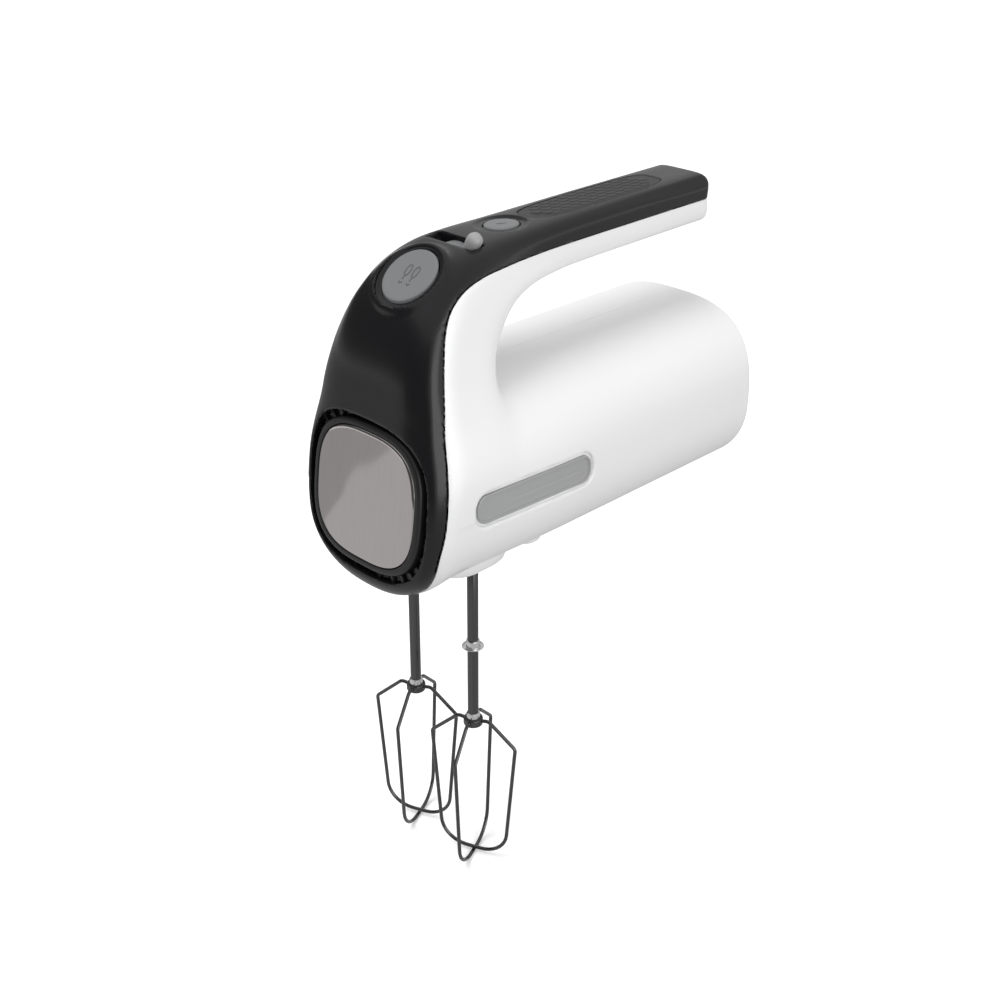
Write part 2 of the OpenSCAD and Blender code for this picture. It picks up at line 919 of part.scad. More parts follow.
module commutator() {
    bars = 24;
    color(copper) along_x(commutator_x) difference() {
        cylinder(r = 10, h = 11);
        translate([0, 0, -1]) cylinder(r = shaft_motor_r, h = 20);
        for (i = [0:bars - 1])
            rotate(360 * i / bars) translate([9, -0.2, -1]) cube([3, 0.4, 20]);
    }
}

module fan() {
    blades = 11;
    color(charcoal) along_x(fan_x) difference() {
        union() {
            cylinder(r = 29, h = 1.5);
            cylinder(r = 7, h = 9);
            for (i = [0:blades - 1])
                rotate(360 * i / blades) translate([9, 3, 1.5 - eps]) cube([19, 1.4, 8]);
        }
        translate([0, 0, -1]) cylinder(r = shaft_motor_r, h = 20);
    }
}

module front_bearings() {
    color(brass_tone) for (x = [axis_x - case_half[0], front_bearing_x])
        along_x(x) tube(bearing_r, shaft_motor_r + 0.05, 5);
}

module rear_bearing() {
    color(brass_tone) along_x(rear_bearing_x) tube(bearing_r, shaft_motor_r + 0.05, 6);
}

module bearing_bracket() {
    color(nylon) difference() {
        union() {
            translate([rear_bearing_x, -36, motor_z - 9]) cube([6, 72, 18]);
            for (y = [-36, 30])
                translate([rear_bearing_x + 6 - eps, y, motor_z - 9])
                    cube([core_x0 - rear_bearing_x - 6, 6, 18]);
        }
        along_x(rear_bearing_x - 1) cylinder(r = bearing_r, h = 8);
    }
}

module stator_core() {
    color(steel) along_x(core_x0) difference() {
        intersection() {
            cylinder(r = 34, h = core_x1 - core_x0);
            translate([-27, -36, -1]) cube([54, 72, 60]);
        }
        translate([0, 0, -1]) cylinder(r = rotor_r + 0.6, h = 60);
        for (s = [-1, 1])
            translate([s * coil_z, 0, 19]) cube([7, 34, 60], center = true);
    }
}

module field_coils() {
    color(copper) for (s = [-1, 1])
        translate([core_x0 - 7, -16, motor_z + s * coil_z - coil_h / 2])
            cube([core_x1 - core_x0 + 12.4, 32, coil_h]);
}

holder_y = 12;

module brush_holders() {
    color(brass_tone) for (s = [-1, 1])
        translate([commutator_x + 2.5, s * (holder_y + 8.5), motor_z]) difference() {
            cube([8, 17, 8], center = true);
            cube([5.2, 30, 5.2], center = true);
        }
}

module brushes() {
    color(charcoal) for (s = [-1, 1])
        translate([commutator_x + 2.5, s * 15.1, motor_z]) cube([5, 10, 5], center = true);
}

module brush_springs() {
    color(steel) for (s = [-1, 1])
        translate([commutator_x + 2.5, s * 20.2, motor_z]) rotate([-90 * s, 0, 0])
            coil(1.8, 0.3, 8, 3);
}

// ---------- electrics ----------

board_z = 224;

module control_board() {
    color(board_green) translate([core_x0 - 4, -18, board_z]) cube([44, 36, 1.6]);
}

module board_parts() {
    color(charcoal) {
        translate([core_x0 + 2, -14, board_z + 1.65]) cube([10, 8, 6]);
        translate([core_x0 + 16, -12, board_z + 1.65]) cube([14, 5, 4]);
        for (i = [0:3])
            translate([core_x0 + 6 + 8 * i, 9, board_z + 1.65]) cylinder(r = 3, h = 5.5);
    }
}

module terminal_block() {
    color(nylon) translate([heel_x + 4, -32, 205]) difference() {
        cube([12, 22, 12]);
        for (i = [0:2]) translate([-1, 4 + 7 * i, 6]) rotate([0, 90, 0]) cylinder(r = 1.8, h = 20);
    }
}

module supply_wires() {
    color(copper) for (i = [0:2])
        translate([heel_x + 16.2, -28 + 7 * i, 211]) rotate([0, 90, 0]) cylinder(r = 1.1, h = 24 + 6 * i);
}

left_housing();
right_housing();
front_cover();
heel_plate();
cable_gland();
nose_bezel();
nose_plate();
grip_pad();
left_trim_plate();
right_trim_plate();
socket_boss();
rear_foot();
body_screws();
ejector_button();
ejector_yoke();
ejector_spring();
selector_drum();
selector_tab();
selector_axle();
speed_switch();
turbo_button();
turbo_spring();
turbo_switch();
gear_case();
gear_cover();
spindle_bushes();
left_worm_wheel();
right_worm_wheel();
left_spindle();
right_spindle();
left_pusher();
right_pusher();
left_beater_shaft();
left_beater_hub();
left_outer_loop();
left_inner_loop();
collar_ring();
right_beater_shaft();
right_beater_hub();
right_outer_loop();
right_inner_loop();
rotor_shaft();
worm();
armature();
armature_windings();
commutator();
fan();
front_bearings();
rear_bearing();
bearing_bracket();
stator_core();
field_coils();
brush_holders();
brushes();
brush_springs();
control_board();
board_parts();
terminal_block();
supply_wires();
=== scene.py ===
import json
import math

import bpy
import numpy as np
from mathutils import Matrix, Vector


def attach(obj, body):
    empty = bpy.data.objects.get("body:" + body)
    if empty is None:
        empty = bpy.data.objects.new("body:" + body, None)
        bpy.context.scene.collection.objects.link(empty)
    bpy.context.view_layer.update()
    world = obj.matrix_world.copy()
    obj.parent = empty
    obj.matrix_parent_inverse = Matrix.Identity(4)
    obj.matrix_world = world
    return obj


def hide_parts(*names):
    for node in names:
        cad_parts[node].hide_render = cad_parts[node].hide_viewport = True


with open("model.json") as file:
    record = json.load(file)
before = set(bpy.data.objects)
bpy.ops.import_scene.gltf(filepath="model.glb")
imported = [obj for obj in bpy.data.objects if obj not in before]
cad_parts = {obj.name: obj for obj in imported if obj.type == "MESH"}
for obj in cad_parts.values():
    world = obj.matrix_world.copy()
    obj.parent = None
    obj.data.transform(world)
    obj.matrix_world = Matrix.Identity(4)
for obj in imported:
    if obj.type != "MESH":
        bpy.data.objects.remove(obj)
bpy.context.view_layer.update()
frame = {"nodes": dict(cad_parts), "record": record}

# Lengths in this script are millimetres in the frame's axes, and become metres as a mesh is made.
MM = 0.001

# ---------------- small maths


def ease(t):
    t = np.clip(t, 0.0, 1.0)
    return t * t * (3 - 2 * t)


def mix(a, b, t):
    return a + (b - a) * t


def smooth_max(a, b, k):
    h = np.clip(0.5 + 0.5 * (a - b) / k, 0.0, 1.0)
    return mix(b, a, h) + k * h * (1 - h)


def smooth_min(a, b, k):
    return -smooth_max(-a, -b, k)


def round_max(a, b, r):
    """Both sides' inside, with their common edge rounded to radius r."""
    outside = np.hypot(np.maximum(a + r, 0), np.maximum(b + r, 0))
    return outside + np.minimum(np.maximum(a + r, b + r), 0) - r


def spline(points, u):
    """Smooth line through the points at each parameter in u."""
    points = np.asarray(points, float)
    last = len(points) - 1
    i = np.clip(np.floor(u).astype(int), 0, last - 1)
    t = (u - i).reshape(np.shape(u) + (1,) * (points.ndim - 1))
    a = points[np.maximum(i - 1, 0)]
    b = points[i]
    c = points[i + 1]
    d = points[np.minimum(i + 2, last)]
    return 0.5 * (
        2 * b + (c - a) * t + (2 * a - 5 * b + 4 * c - d) * t**2 + (3 * b - a - 3 * c + d) * t**3
    )


def squircle(half_u, half_v, n, count):
    a = 2 * math.pi * np.arange(count) / count
    c, s = np.cos(a), np.sin(a)
    return np.stack(
        [half_u * np.sign(c) * np.abs(c) ** (2 / n), half_v * np.sign(s) * np.abs(s) ** (2 / n)], 1
    )


# ---------------- the body's form

HEEL_X = -99.9
NOSE_X, NOSE_Z = 95.15, 195.5
NOSE_LEAN = math.radians(7.1)
BARREL_Z = 191.5
BARREL_W = 46.35
BARREL_RISE = 45.0
BARREL_DROP = 37.0
NOSE_ROUND = 11.5
HEEL_ROUND = 1.8
WALL = 2.4
JOIN_ROUND = 7.0

# Front and top line of the pillar and handle, and its rear and under line, as (x, z)
FRONT = [
    (95.5, 160), (95, 200), (94, 215), (93.2, 232), (90.6, 248), (85.2, 262), (77.5, 274.1),
    (67, 283.1), (53.2, 289), (38, 291.2), (14, 291.9), (-36, 292.8), (-96, 293.5), (-140, 294),
]
REAR = [
    (43, 160), (43, 200), (44, 215), (44.5, 229), (45, 240), (43, 250), (37.7, 258),
    (29, 265.3), (17, 268.8), (3, 270), (-15, 270.6), (-60, 271), (-96, 271.3), (-140, 271.5),
]
HALF_W = [40, 40, 39, 36.5, 32.4, 29.4, 27, 24.4, 21.4, 18.8, 17.2, 16.4, 16, 16]
HANDLE_FOOT_Z = 197.0
HANDLE_T0 = 1.0
HANDLE_T1 = 12.0
# Line where the black cover meets the white shells, seen from the side
SPLIT = [
    (-140, 282.6), (-99, 282.5), (-6, 282.2), (18, 282.1), (36, 282.1), (49.8, 281.6), (61.1, 279.1),
    (69.7, 273.5), (74.6, 265.9), (78.1, 254.7), (81, 242.2), (83.9, 229.2), (86.8, 211.8),
    (89.6, 191.8), (91.8, 179), (91.3, 163), (89, 140), (85, 110),
]


def barrel_section(x, y, z):
    """Distance outside the barrel's cross-section, without its ends."""
    chin = ease((x - 70) / 27)
    up = z > BARREL_Z
    n = np.where(up, mix(2.85, 2.6, chin), mix(2.2, 2.34, chin))
    h = np.where(up, BARREL_RISE, BARREL_DROP + 2 * chin)
    w = BARREL_W - 3.3 * ease((x - 14) / 77)
    u = np.abs(y) / w + 1e-6
    v = np.abs(z - BARREL_Z) / h + 1e-6
    s = np.maximum((u**n + v**n) ** (1 / n), 0.25)
    slope = s ** (1 - n) * np.hypot(u ** (n - 1) / w, v ** (n - 1) / h)
    return (s - 1) / slope


def nose_coords(x, z):
    """(distance in front of the leaning plane that ends the nose, distance up it)."""
    c, s = math.cos(NOSE_LEAN), math.sin(NOSE_LEAN)
    return (x - NOSE_X) * c + (z - NOSE_Z) * s, (z - NOSE_Z) * c - (x - NOSE_X) * s


def barrel(x, y, z):
    section = barrel_section(x, y, z)
    return round_max(round_max(section, nose_coords(x, z)[0], NOSE_ROUND), HEEL_X - x, HEEL_ROUND)


def handle_parts(t):
    front = spline(FRONT, t)
    rear = spline(REAR, t)
    return (front + rear) / 2, (front - rear) / 2


def crossing(x, z, t):
    mid, reach = handle_parts(t)
    return (x - mid[..., 0]) * reach[..., 1] - (z - mid[..., 1]) * reach[..., 0]


def coarse_t(x, z):
    """Which cross-section of the pillar and handle each point lies in, to a first guess."""
    t = np.linspace(0, len(FRONT) - 1, 300)
    mid, reach = handle_parts(t)
    px, pz = x[:, None] - mid[:, 0], z[:, None] - mid[:, 1]
    c = px * reach[:, 1] - pz * reach[:, 0]
    k = np.abs(px * reach[:, 0] + pz * reach[:, 1]) / (reach**2).sum(1)
    change = (c[:, :-1] * c[:, 1:]) <= 0
    cost = np.where(change, k[:, :-1], 1e3 + np.abs(c[:, :-1]))
    return t[np.argmin(cost, 1)]


def coarse_u(x, z):
    """Nearest parameter on the split line, to a first guess."""
    u = np.linspace(0, len(SPLIT) - 1, 200)
    p = spline(SPLIT, u)
    return u[np.argmin((x[:, None] - p[:, 0]) ** 2 + (z[:, None] - p[:, 1]) ** 2, 1)]


class Guess:
    """First guesses kept on a grid over the side view."""

    step = 1.5
    x0, x1, z0, z1 = -104.0, 104.0, 140.0, 300.0

    def __init__(self, solve):
        gx, gz = np.meshgrid(
            np.arange(self.x0, self.x1, self.step), np.arange(self.z0, self.z1, self.step), indexing="ij"
        )
        rows = [solve(a, b) for a, b in zip(gx, gz)]
        self.table = np.array(rows)

    def __call__(self, x, z):
        i = np.clip(np.rint((x - self.x0) / self.step).astype(int), 0, self.table.shape[0] - 1)
        j = np.clip(np.rint((z - self.z0) / self.step).astype(int), 0, self.table.shape[1] - 1)
        return self.table[i, j]


guess_t = Guess(coarse_t)
guess_u = Guess(coarse_u)


def handle_t(x, z):
    t = guess_t(x, z)
    step = 0.01
    for _ in range(4):
        c = crossing(x, z, t)
        slope = (crossing(x, z, t + step) - c) / step
        slope = np.where(np.abs(slope) < 1e-3, 1e-3, slope)
        t = t - np.clip(c / slope, -0.3, 0.3)
    return t


def handle_place(x, z):
    """(t along, k across from -1 at the rear to 1 at the front, half depth) of each point."""
    t = handle_t(x, z)
    mid, reach = handle_parts(t)
    size2 = (reach**2).sum(-1)
    k = ((x - mid[..., 0]) * reach[..., 0] + (z - mid[..., 1]) * reach[..., 1]) / size2
    return t, k, np.sqrt(size2)


def split_place(x, z):
    """(parameter, signed distance) to the split line; positive on the cover's side."""
    u = guess_u(x, z)
    step = 0.01
    for _ in range(3):
        p = spline(SPLIT, u)
        d = (spline(SPLIT, u + step) - p) / step
        gap = (x - p[..., 0]) * d[..., 0] + (z - p[..., 1]) * d[..., 1]
        u = u + np.clip(gap / (d**2).sum(-1), -0.3, 0.3)
    p = spline(SPLIT, u)
    d = spline(SPLIT, u + step) - p
    d = d / np.linalg.norm(d, axis=-1, keepdims=True)
    return u, (z - p[..., 1]) * d[..., 0] - (x - p[..., 0]) * d[..., 1]


def handle(x, y, z, place):
    t, k, depth = place
    w = spline(HALF_W, t)
    n = mix(3.8, 5.0, np.clip((t - HANDLE_T0) / (HANDLE_T1 - HANDLE_T0), 0, 1))
    u = np.abs(k) + 1e-6
    v = np.abs(y) / w + 1e-6
    s = np.maximum((u**n + v**n) ** (1 / n), 0.25)
    slope = s ** (1 - n) * np.hypot(u ** (n - 1) / depth, v ** (n - 1) / w)
    return np.maximum(round_max((s - 1) / slope, HEEL_X - x, 3.5), HANDLE_FOOT_Z - z)


class Side:
    """Everything that depends on the side view alone, worked out once for a set of points."""

    def __init__(self, x, z):
        self.place = handle_place(x, z)
        self.u, self.g = split_place(x, z)


def outer_form(x, y, z, side):
    """Distance outside the whole body, with the pillar run smoothly into the barrel."""
    return smooth_min(barrel(x, y, z), handle(x, y, z, side.place), JOIN_ROUND)


# ---------------- fields of the shells

GAP = 0.22
TUCK, TUCK_DEPTH = 0.8, 1.0
TRIM_X, TRIM_Z = 42.5, 196.0
TRIM_HALF = (31.75, 6.3)
TRIM_CORNER = 5.3
POCKET_DEPTH = 1.4
LIP = 1.2
BODY_SCREWS = [(-88, 225), (-80, 163), (-60, 228), (-82, 277), (-12, 277), (68, 172.5)]
WELL_R = 2.9


def pill(x, z, grow):
    """Distance outside the trim plate's outline in the side view."""
    r = TRIM_CORNER + grow
    qx = np.abs(x - TRIM_X) - (TRIM_HALF[0] + grow - r)
    qz = np.abs(z - TRIM_Z) - (TRIM_HALF[1] + grow - r)
    return np.hypot(np.maximum(qx, 0), np.maximum(qz, 0)) + np.minimum(np.maximum(qx, qz), 0) - r


def white_field(x, y, z, side, wells):
    f = outer_form(x, y, z, side)
    edge = np.clip(1 + (side.g + GAP) / 7, 0, 1)
    f = f + 0.45 * edge**2 + 0.25 * np.clip(1 + (side.g + GAP) / 0.9, 0, 1) ** 2
    pocket = smooth_max(pill(x, z, LIP), -(barrel_section(x, y, z) + POCKET_DEPTH), 0.3)
    f = smooth_max(f, -pocket, 1.3)
    if wells:
        for sx, sz in BODY_SCREWS:
            well = np.maximum(np.hypot(x - sx, z - sz) - WELL_R, 9.0 - np.abs(y))
            f = smooth_max(f, -well, 0.5)
    return f


def white_keep(x, y, z, side):
    """Positive where the white shell is kept."""
    heel = np.maximum(x - HEEL_X - 0.3, barrel_section(x, y, z) + WALL)
    return np.minimum(-side.g - GAP, heel)


EJECTOR = np.array([68.8, 0.0, 281.8])
EJECTOR_TILT = math.radians(39)
EJECTOR_AXIS = np.array([math.sin(EJECTOR_TILT), 0, math.cos(EJECTOR_TILT)])
EJECTOR_R = 12.5
SLOT_X, SLOT_HALF = 44.5, 3.6
TURBO_X, TURBO_HALF, TURBO_TOP = 18.5, (8.0, 6.6), 292.1
GRIP_X, GRIP_HALF, GRIP_TOP, GRIP_SLOPE = -36.0, (41.0, 9.5), 292.7, 0.0157
NOSE_N = 2.94
PLATE_HALF, BEZEL_HALF, RECESS_HALF = (29.4, 27.7), (32.4, 30.7), (35.2, 33.5)
RECESS_DEPTH = 4.5


def squircle_distance(u, v, half, n):
    a, b = np.abs(u) / half + 1e-6, np.abs(v) / half + 1e-6
    s = np.maximum((a**n + b**n) ** (1 / n), 0.3)
    slope = s ** (1 - n) * np.hypot(a ** (n - 1), b ** (n - 1)) / half
    return (s - 1) / slope


def oval(x, y, half_x, half_y):
    s = np.maximum(np.hypot(x / half_x, y / half_y), 0.2)
    slope = np.hypot(x / half_x**2, y / half_y**2) / s + 1e-6
    return (s - 1) / slope


def ejector_coords(x, y, z):
    """(distance from the button's axis, height over its face)."""
    px, pz = x - EJECTOR[0], z - EJECTOR[2]
    h = px * EJECTOR_AXIS[0] + pz * EJECTOR_AXIS[2]
    across = px * EJECTOR_AXIS[2] - pz * EJECTOR_AXIS[0]
    return np.hypot(across, y), h


def cover_field(x, y, z, side):
    f = outer_form(x, y, z, side)
    t, k, depth = side.place
    w = spline(HALF_W, t)
    # crease along the handle's top edge, which fades out round the bend
    below_top = (1 - k) * depth
    bend = ease((10.5 - t) / 4.5)
    facet = (np.abs(y) - (w - 4.2)) * 0.789 - below_top * 0.6145 - 6.0 * bend
    f = smooth_max(f, facet, 0.4 + 1.2 * bend)
    # bevelled band beside the split line, wide and deep down the pillar
    pillar = ease((side.u - 3.5) / 5) * ease((15.6 - side.u) / 1.6)
    bevel_depth = 0.45 + 0.95 * pillar
    band = 5.2 - 0.4 * pillar
    f = f - 0.4 * pillar
    f = smooth_max(f, f + bevel_depth * (1 - side.g / band), 0.3)
    # step down under the white shell's edge
    f = f + TUCK_DEPTH * ease((GAP - side.g) / (2 * GAP))
    # pad and ring round the ejector button
    rho, h = ejector_coords(x, y, z)
    pad = round_max(rho - 16.6, np.abs(h + 6.6) - 6.0, 1.2)
    f = smooth_min(f, pad, 3.6)
    ring = np.maximum(rho - 15.3, -(h + 2.0))
    f = smooth_max(f, -ring, 0.3)
    px = (x - EJECTOR[0]) / math.cos(EJECTOR_TILT)
    hole = np.maximum(np.hypot(px, y) - EJECTOR_R - 0.35, 262 - z)
    f = smooth_max(f, -hole, 0.25)
    # selector slot
    slot_floor = 276 + 2.4 * np.maximum(np.abs(y) - 7.6, 0)
    slot = np.maximum(np.abs(x - SLOT_X) - SLOT_HALF, (slot_floor - z) / 2.6)
    f = smooth_max(f, -slot, 0.5)
    # dish and hole of the turbo button
    dish_r = oval(x - TURBO_X, y, TURBO_HALF[0] + 3.4, TURBO_HALF[1] + 3.2)
    dish = smooth_max(dish_r, TURBO_TOP - 1.0 - z, 0.8)
    f = smooth_max(f, -dish, 1.0)
    button = np.maximum(oval(x - TURBO_X, y, TURBO_HALF[0] + 0.4, TURBO_HALF[1] + 0.4), 284 - z)
    f = smooth_max(f, -button, 0.25)
    # shallow bed of the grip pad
    bed = np.maximum(squircle_distance(x - GRIP_X, y * GRIP_HALF[0] / GRIP_HALF[1], GRIP_HALF[0] + 0.05, 4),
                     GRIP_TOP - 1.3 - GRIP_SLOPE * (x - GRIP_X) - z)
    f = smooth_max(f, -bed, 0.3)
    # recess round the nose
    reach, rise = nose_coords(x, z)
    grown = rise * RECESS_HALF[0] / RECESS_HALF[1]
    recess = np.maximum(squircle_distance(y, grown, RECESS_HALF[0], NOSE_N), -RECESS_DEPTH - reach)
    return smooth_max(f, -recess, 1.3)


def cover_keep(x, y, z, side):
    """Positive where the cover is kept: its side of the split line, and the floor of the nose's recess."""
    reach, rise = nose_coords(x, z)
    inside = 0.6 - squircle_distance(y, rise * RECESS_HALF[0] / RECESS_HALF[1], RECESS_HALF[0], NOSE_N)
    return np.maximum(side.g + TUCK, np.minimum(inside, reach + RECESS_DEPTH + 0.8))


# ---------------- surfaces from fields

CORNERS = np.array([(i, j, k) for i in (0, 1) for j in (0, 1) for k in (0, 1)])
CELL_EDGES = [
    (a, b) for a in range(8) for b in range(a + 1, 8) if np.abs(CORNERS[a] - CORNERS[b]).sum() == 1
]


def surface_net(values):
    """Vertices, in grid units, and quads of the zero surface of a sampled field."""
    inside = values < 0
    n = [s - 1 for s in values.shape]
    count = sum(
        inside[i : i + n[0], j : j + n[1], k : k + n[2]].astype(np.int8) for i, j, k in CORNERS
    )
    cells = np.argwhere((count > 0) & (count < 8))
    index = -np.ones(n, int)
    index[tuple(cells.T)] = np.arange(len(cells))
    corner = [values[tuple((cells + c).T)] for c in CORNERS]
    total = np.zeros((len(cells), 3))
    hits = np.zeros(len(cells))
    for a, b in CELL_EDGES:
        cross = (corner[a] < 0) != (corner[b] < 0)
        t = np.where(cross, corner[a] / np.where(cross, corner[a] - corner[b], 1), 0)
        total += np.where(cross[:, None], CORNERS[a] + t[:, None] * (CORNERS[b] - CORNERS[a]), 0)
        hits += cross
    points = cells + total / hits[:, None]
    quads = []
    for axis in range(3):
        b, c = [(1, 2), (2, 0), (0, 1)][axis]
        lo = [slice(None)] * 3
        hi = [slice(None)] * 3
        lo[axis], hi[axis] = slice(0, -1), slice(1, None)
        first, second = inside[tuple(lo)], inside[tuple(hi)]
        edges = np.argwhere(first != second)
        edges = edges[(edges[:, b] > 0) & (edges[:, c] > 0)]
        edges = edges[(edges[:, b] < n[b]) & (edges[:, c] < n[c])]
        step_b, step_c = np.eye(3, dtype=int)[b], np.eye(3, dtype=int)[c]
        ring = [edges - step_b - step_c, edges - step_c, edges, edges - step_b]
        quad = np.stack([index[tuple(r.T)] for r in ring], 1)
        flip = second[tuple(edges.T)]
        quad[flip] = quad[flip][:, ::-1]
        quads.append(quad)
    return points, np.concatenate(quads)


def settle(points, field, rounds=3):
    """Moves points onto the field's zero surface, and returns them with their outward normals."""
    h = 0.04

    def slope(p, f):
        g = [field(*(p + h * e).T) - f for e in np.eye(3)]
        return np.stack(g, 1) / h

    for i in range(rounds):
        f = field(*points.T)
        if i < 2:
            g = slope(points, f)
        size2 = np.maximum((g**2).sum(1), 0.05)
        points = points - np.clip(f / size2, -0.6, 0.6)[:, None] * g
    f = field(*points.T)
    g = slope(points, f)
    return points, g / np.linalg.norm(g, axis=1, keepdims=True)


def clip(points, normals, tris, value):
    """The part of a triangle mesh where value, given at its points, is above zero."""
    keep = value > 0
    full = tris[keep[tris].all(1)]
    mixed = tris[keep[tris].any(1) & ~keep[tris].all(1)]
    cut, faces = {}, []
    extra_p, extra_n = [], []

    def crossing_point(a, b):
        key = (min(a, b), max(a, b))
        if key not in cut:
            t = value[a] / (value[a] - value[b])
            cut[key] = len(points) + len(extra_p)
            extra_p.append(mix(points[a], points[b], t))
            extra_n.append(mix(normals[a], normals[b], t))
        return cut[key]

    for tri in mixed.tolist():
        inside = [i for i in range(3) if keep[tri[i]]]
        if len(inside) == 1:
            a, b, c = (tri[(inside[0] + j) % 3] for j in range(3))
            faces.append((a, crossing_point(a, b), crossing_point(a, c)))
        else:
            out = 3 - sum(inside)
            a, b, c = (tri[(out + j) % 3] for j in range(3))
            p, q = crossing_point(a, b), crossing_point(a, c)
            faces.append((p, b, c))
            faces.append((p, c, q))
    points = np.vstack([points, np.array(extra_p).reshape(-1, 3)])
    normals = np.vstack([normals, np.array(extra_n).reshape(-1, 3)])
    tris = np.vstack([full, np.array(faces, int).reshape(-1, 3)])
    used, back = np.unique(tris, return_inverse=True)
    normals = normals[used] / np.linalg.norm(normals[used], axis=1, keepdims=True)
    return points[used], normals, back.reshape(-1, 3)


def open_edges(tris):
    """Directed edges that belong to one triangle only."""
    edges = np.vstack([tris[:, [0, 1]], tris[:, [1, 2]], tris[:, [2, 0]]])
    key = np.sort(edges, 1)
    _, where, times = np.unique(key, axis=0, return_index=True, return_counts=True)
    return edges[where[times == 1]]


def with_skirt(points, normals, tris, deep, skip):
    """Folds the shell's open edges inward, which shows its wall's thickness at a gap."""
    edges = open_edges(tris)
    edges = edges[~skip(points[edges].mean(1))]
    rim = np.unique(edges)
    below = -np.ones(len(points), int)
    below[rim] = len(points) + np.arange(len(rim))
    points = np.vstack([points, points[rim] - deep * normals[rim]])
    a, b = edges[:, 0], edges[:, 1]
    sides = np.vstack([np.stack([b, a, below[a]], 1), np.stack([b, below[a], below[b]], 1)])
    return points, np.vstack([tris, sides])


def half_shell(field, keep, step, z_low):
    """One side's skin of a field that is the same on both sides, for y above zero."""
    xs = np.arange(HEEL_X - 1.7, 101.0, step)
    ys = np.arange(-2 * step + 0.3, 48.5, step)
    zs = np.arange(z_low, 295.0, step)
    gx, gz = np.meshgrid(xs, zs, indexing="ij")
    side = Side(gx, gz)
    side.place = tuple(a[:, None, :] for a in side.place)
    side.u, side.g = side.u[:, None, :], side.g[:, None, :]
    x, y, z = xs[:, None, None], ys[None, :, None], zs[None, None, :]
    values = np.broadcast_to(field(x, y, z, side), (len(xs), len(ys), len(zs)))
    points, quads = surface_net(values)
    points = points * step + np.array([xs[0], ys[0], zs[0]])
    # drop what lies well outside the kept part before the slow steps
    near = keep(*points.T, Side(points[:, 0], points[:, 2])) > -2.5 * step
    quads = quads[near[quads].all(1) & (points[quads, 1] > -2.5 * step).all(1)]
    used, back = np.unique(quads, return_inverse=True)
    points, quads = points[used], back.reshape(-1, 4)

    def at(px, py, pz):
        return field(px, py, pz, Side(px, pz))

    points, normals = settle(points, at)
    tris = np.vstack([quads[:, [0, 1, 2]], quads[:, [0, 2, 3]]])
    points, normals, tris = clip(points, normals, tris, keep(*points.T, Side(points[:, 0], points[:, 2])))
    return points, normals, tris


# ---------------- mesh helpers

collection = bpy.context.scene.collection


def add_piece(name, points, faces, body, slot, material, replaces=(), crease=38):
    """Makes a smooth-shaded mesh piece from millimetre points, riding on a body."""
    mesh = bpy.data.meshes.new(name)
    faces = [tuple(int(i) for i in f) for f in faces]
    mesh.from_pydata((np.asarray(points, float) * MM).tolist(), [], faces)
    mesh.validate()
    mesh.polygons.foreach_set("use_smooth", [True] * len(mesh.polygons))
    mesh.set_sharp_from_angle(angle=math.radians(crease))
    mesh.materials.append(material)
    piece = bpy.data.objects.new(name, mesh)
    collection.objects.link(piece)
    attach(piece, body)
    if replaces:
        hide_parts(*replaces)
    return piece


def rings_to_mesh(rings, closed=True, caps=True):
    """Points and faces through a list of rings with equal point counts."""
    rings = [np.asarray(r, float) for r in rings]
    n, m = len(rings[0]), len(rings)
    points = np.vstack(rings)
    faces = []
    for i in range(m - 1):
        for j in range(n if closed else n - 1):
            k = (j + 1) % n
            faces.append((i * n + j, i * n + k, (i + 1) * n + k, (i + 1) * n + j))
    if caps:
        for row, order in ((0, -1), (m - 1, 1)):
            centre = len(points)
            points = np.vstack([points, rings[row].mean(0)])
            for j in range(n):
                a, b = row * n + j, row * n + (j + 1) % n
                faces.append((a, b, centre) if order > 0 else (b, a, centre))
    return points, faces


def join(parts):
    """One set of points and faces out of several."""
    points, faces, start = [], [], 0
    for p, f in parts:
        points.append(np.asarray(p, float))
        faces += [tuple(i + start for i in face) for face in f]
        start += len(p)
    return np.vstack(points), faces


def frame_rings(outlines, origin, u, v, w):
    """Rings in space from (outline, height) pairs: outline along u and v, height along w."""
    origin, u, v, w = (np.asarray(a, float) for a in (origin, u, v, w))
    return [origin + o[:, :1] * u + o[:, 1:] * v + h * w for o, h in outlines]


def tube(path, radius, sides=14, normal=None, caps=True):
    """Round rod along a path; radius is one value or one for each point."""
    path = np.asarray(path, float)
    radius = np.broadcast_to(radius, len(path))
    tangent = np.gradient(path, axis=0)
    tangent /= np.linalg.norm(tangent, axis=1, keepdims=True)
    across = np.asarray(normal if normal is not None else (0.31, 0.87, 0.38), float)
    rings = []
    for p, t, r in zip(path, tangent, radius):
        across = across - t * (across @ t)
        across = across / np.linalg.norm(across)
        other = np.cross(t, across)
        a = 2 * math.pi * np.arange(sides) / sides
        rings.append(p + r * (np.outer(np.cos(a), across) + np.outer(np.sin(a), other)))
    return rings_to_mesh(rings, caps=caps)


def lathe(profile, origin, axis=(0, 0, 1), count=64):
    """Turned shape from (radius, height) pairs; a radius of zero closes it."""
    axis = Vector(axis).normalized()
    side = axis.orthogonal().normalized()
    other = axis.cross(side)
    a = 2 * math.pi * np.arange(count) / count
    circle = np.stack([np.cos(a), np.sin(a)], 1)
    rings = frame_rings([(circle * max(r, 1e-3), h) for r, h in profile], origin, side, other, axis)
    return rings_to_mesh(rings, caps=False)


# ---------------- materials


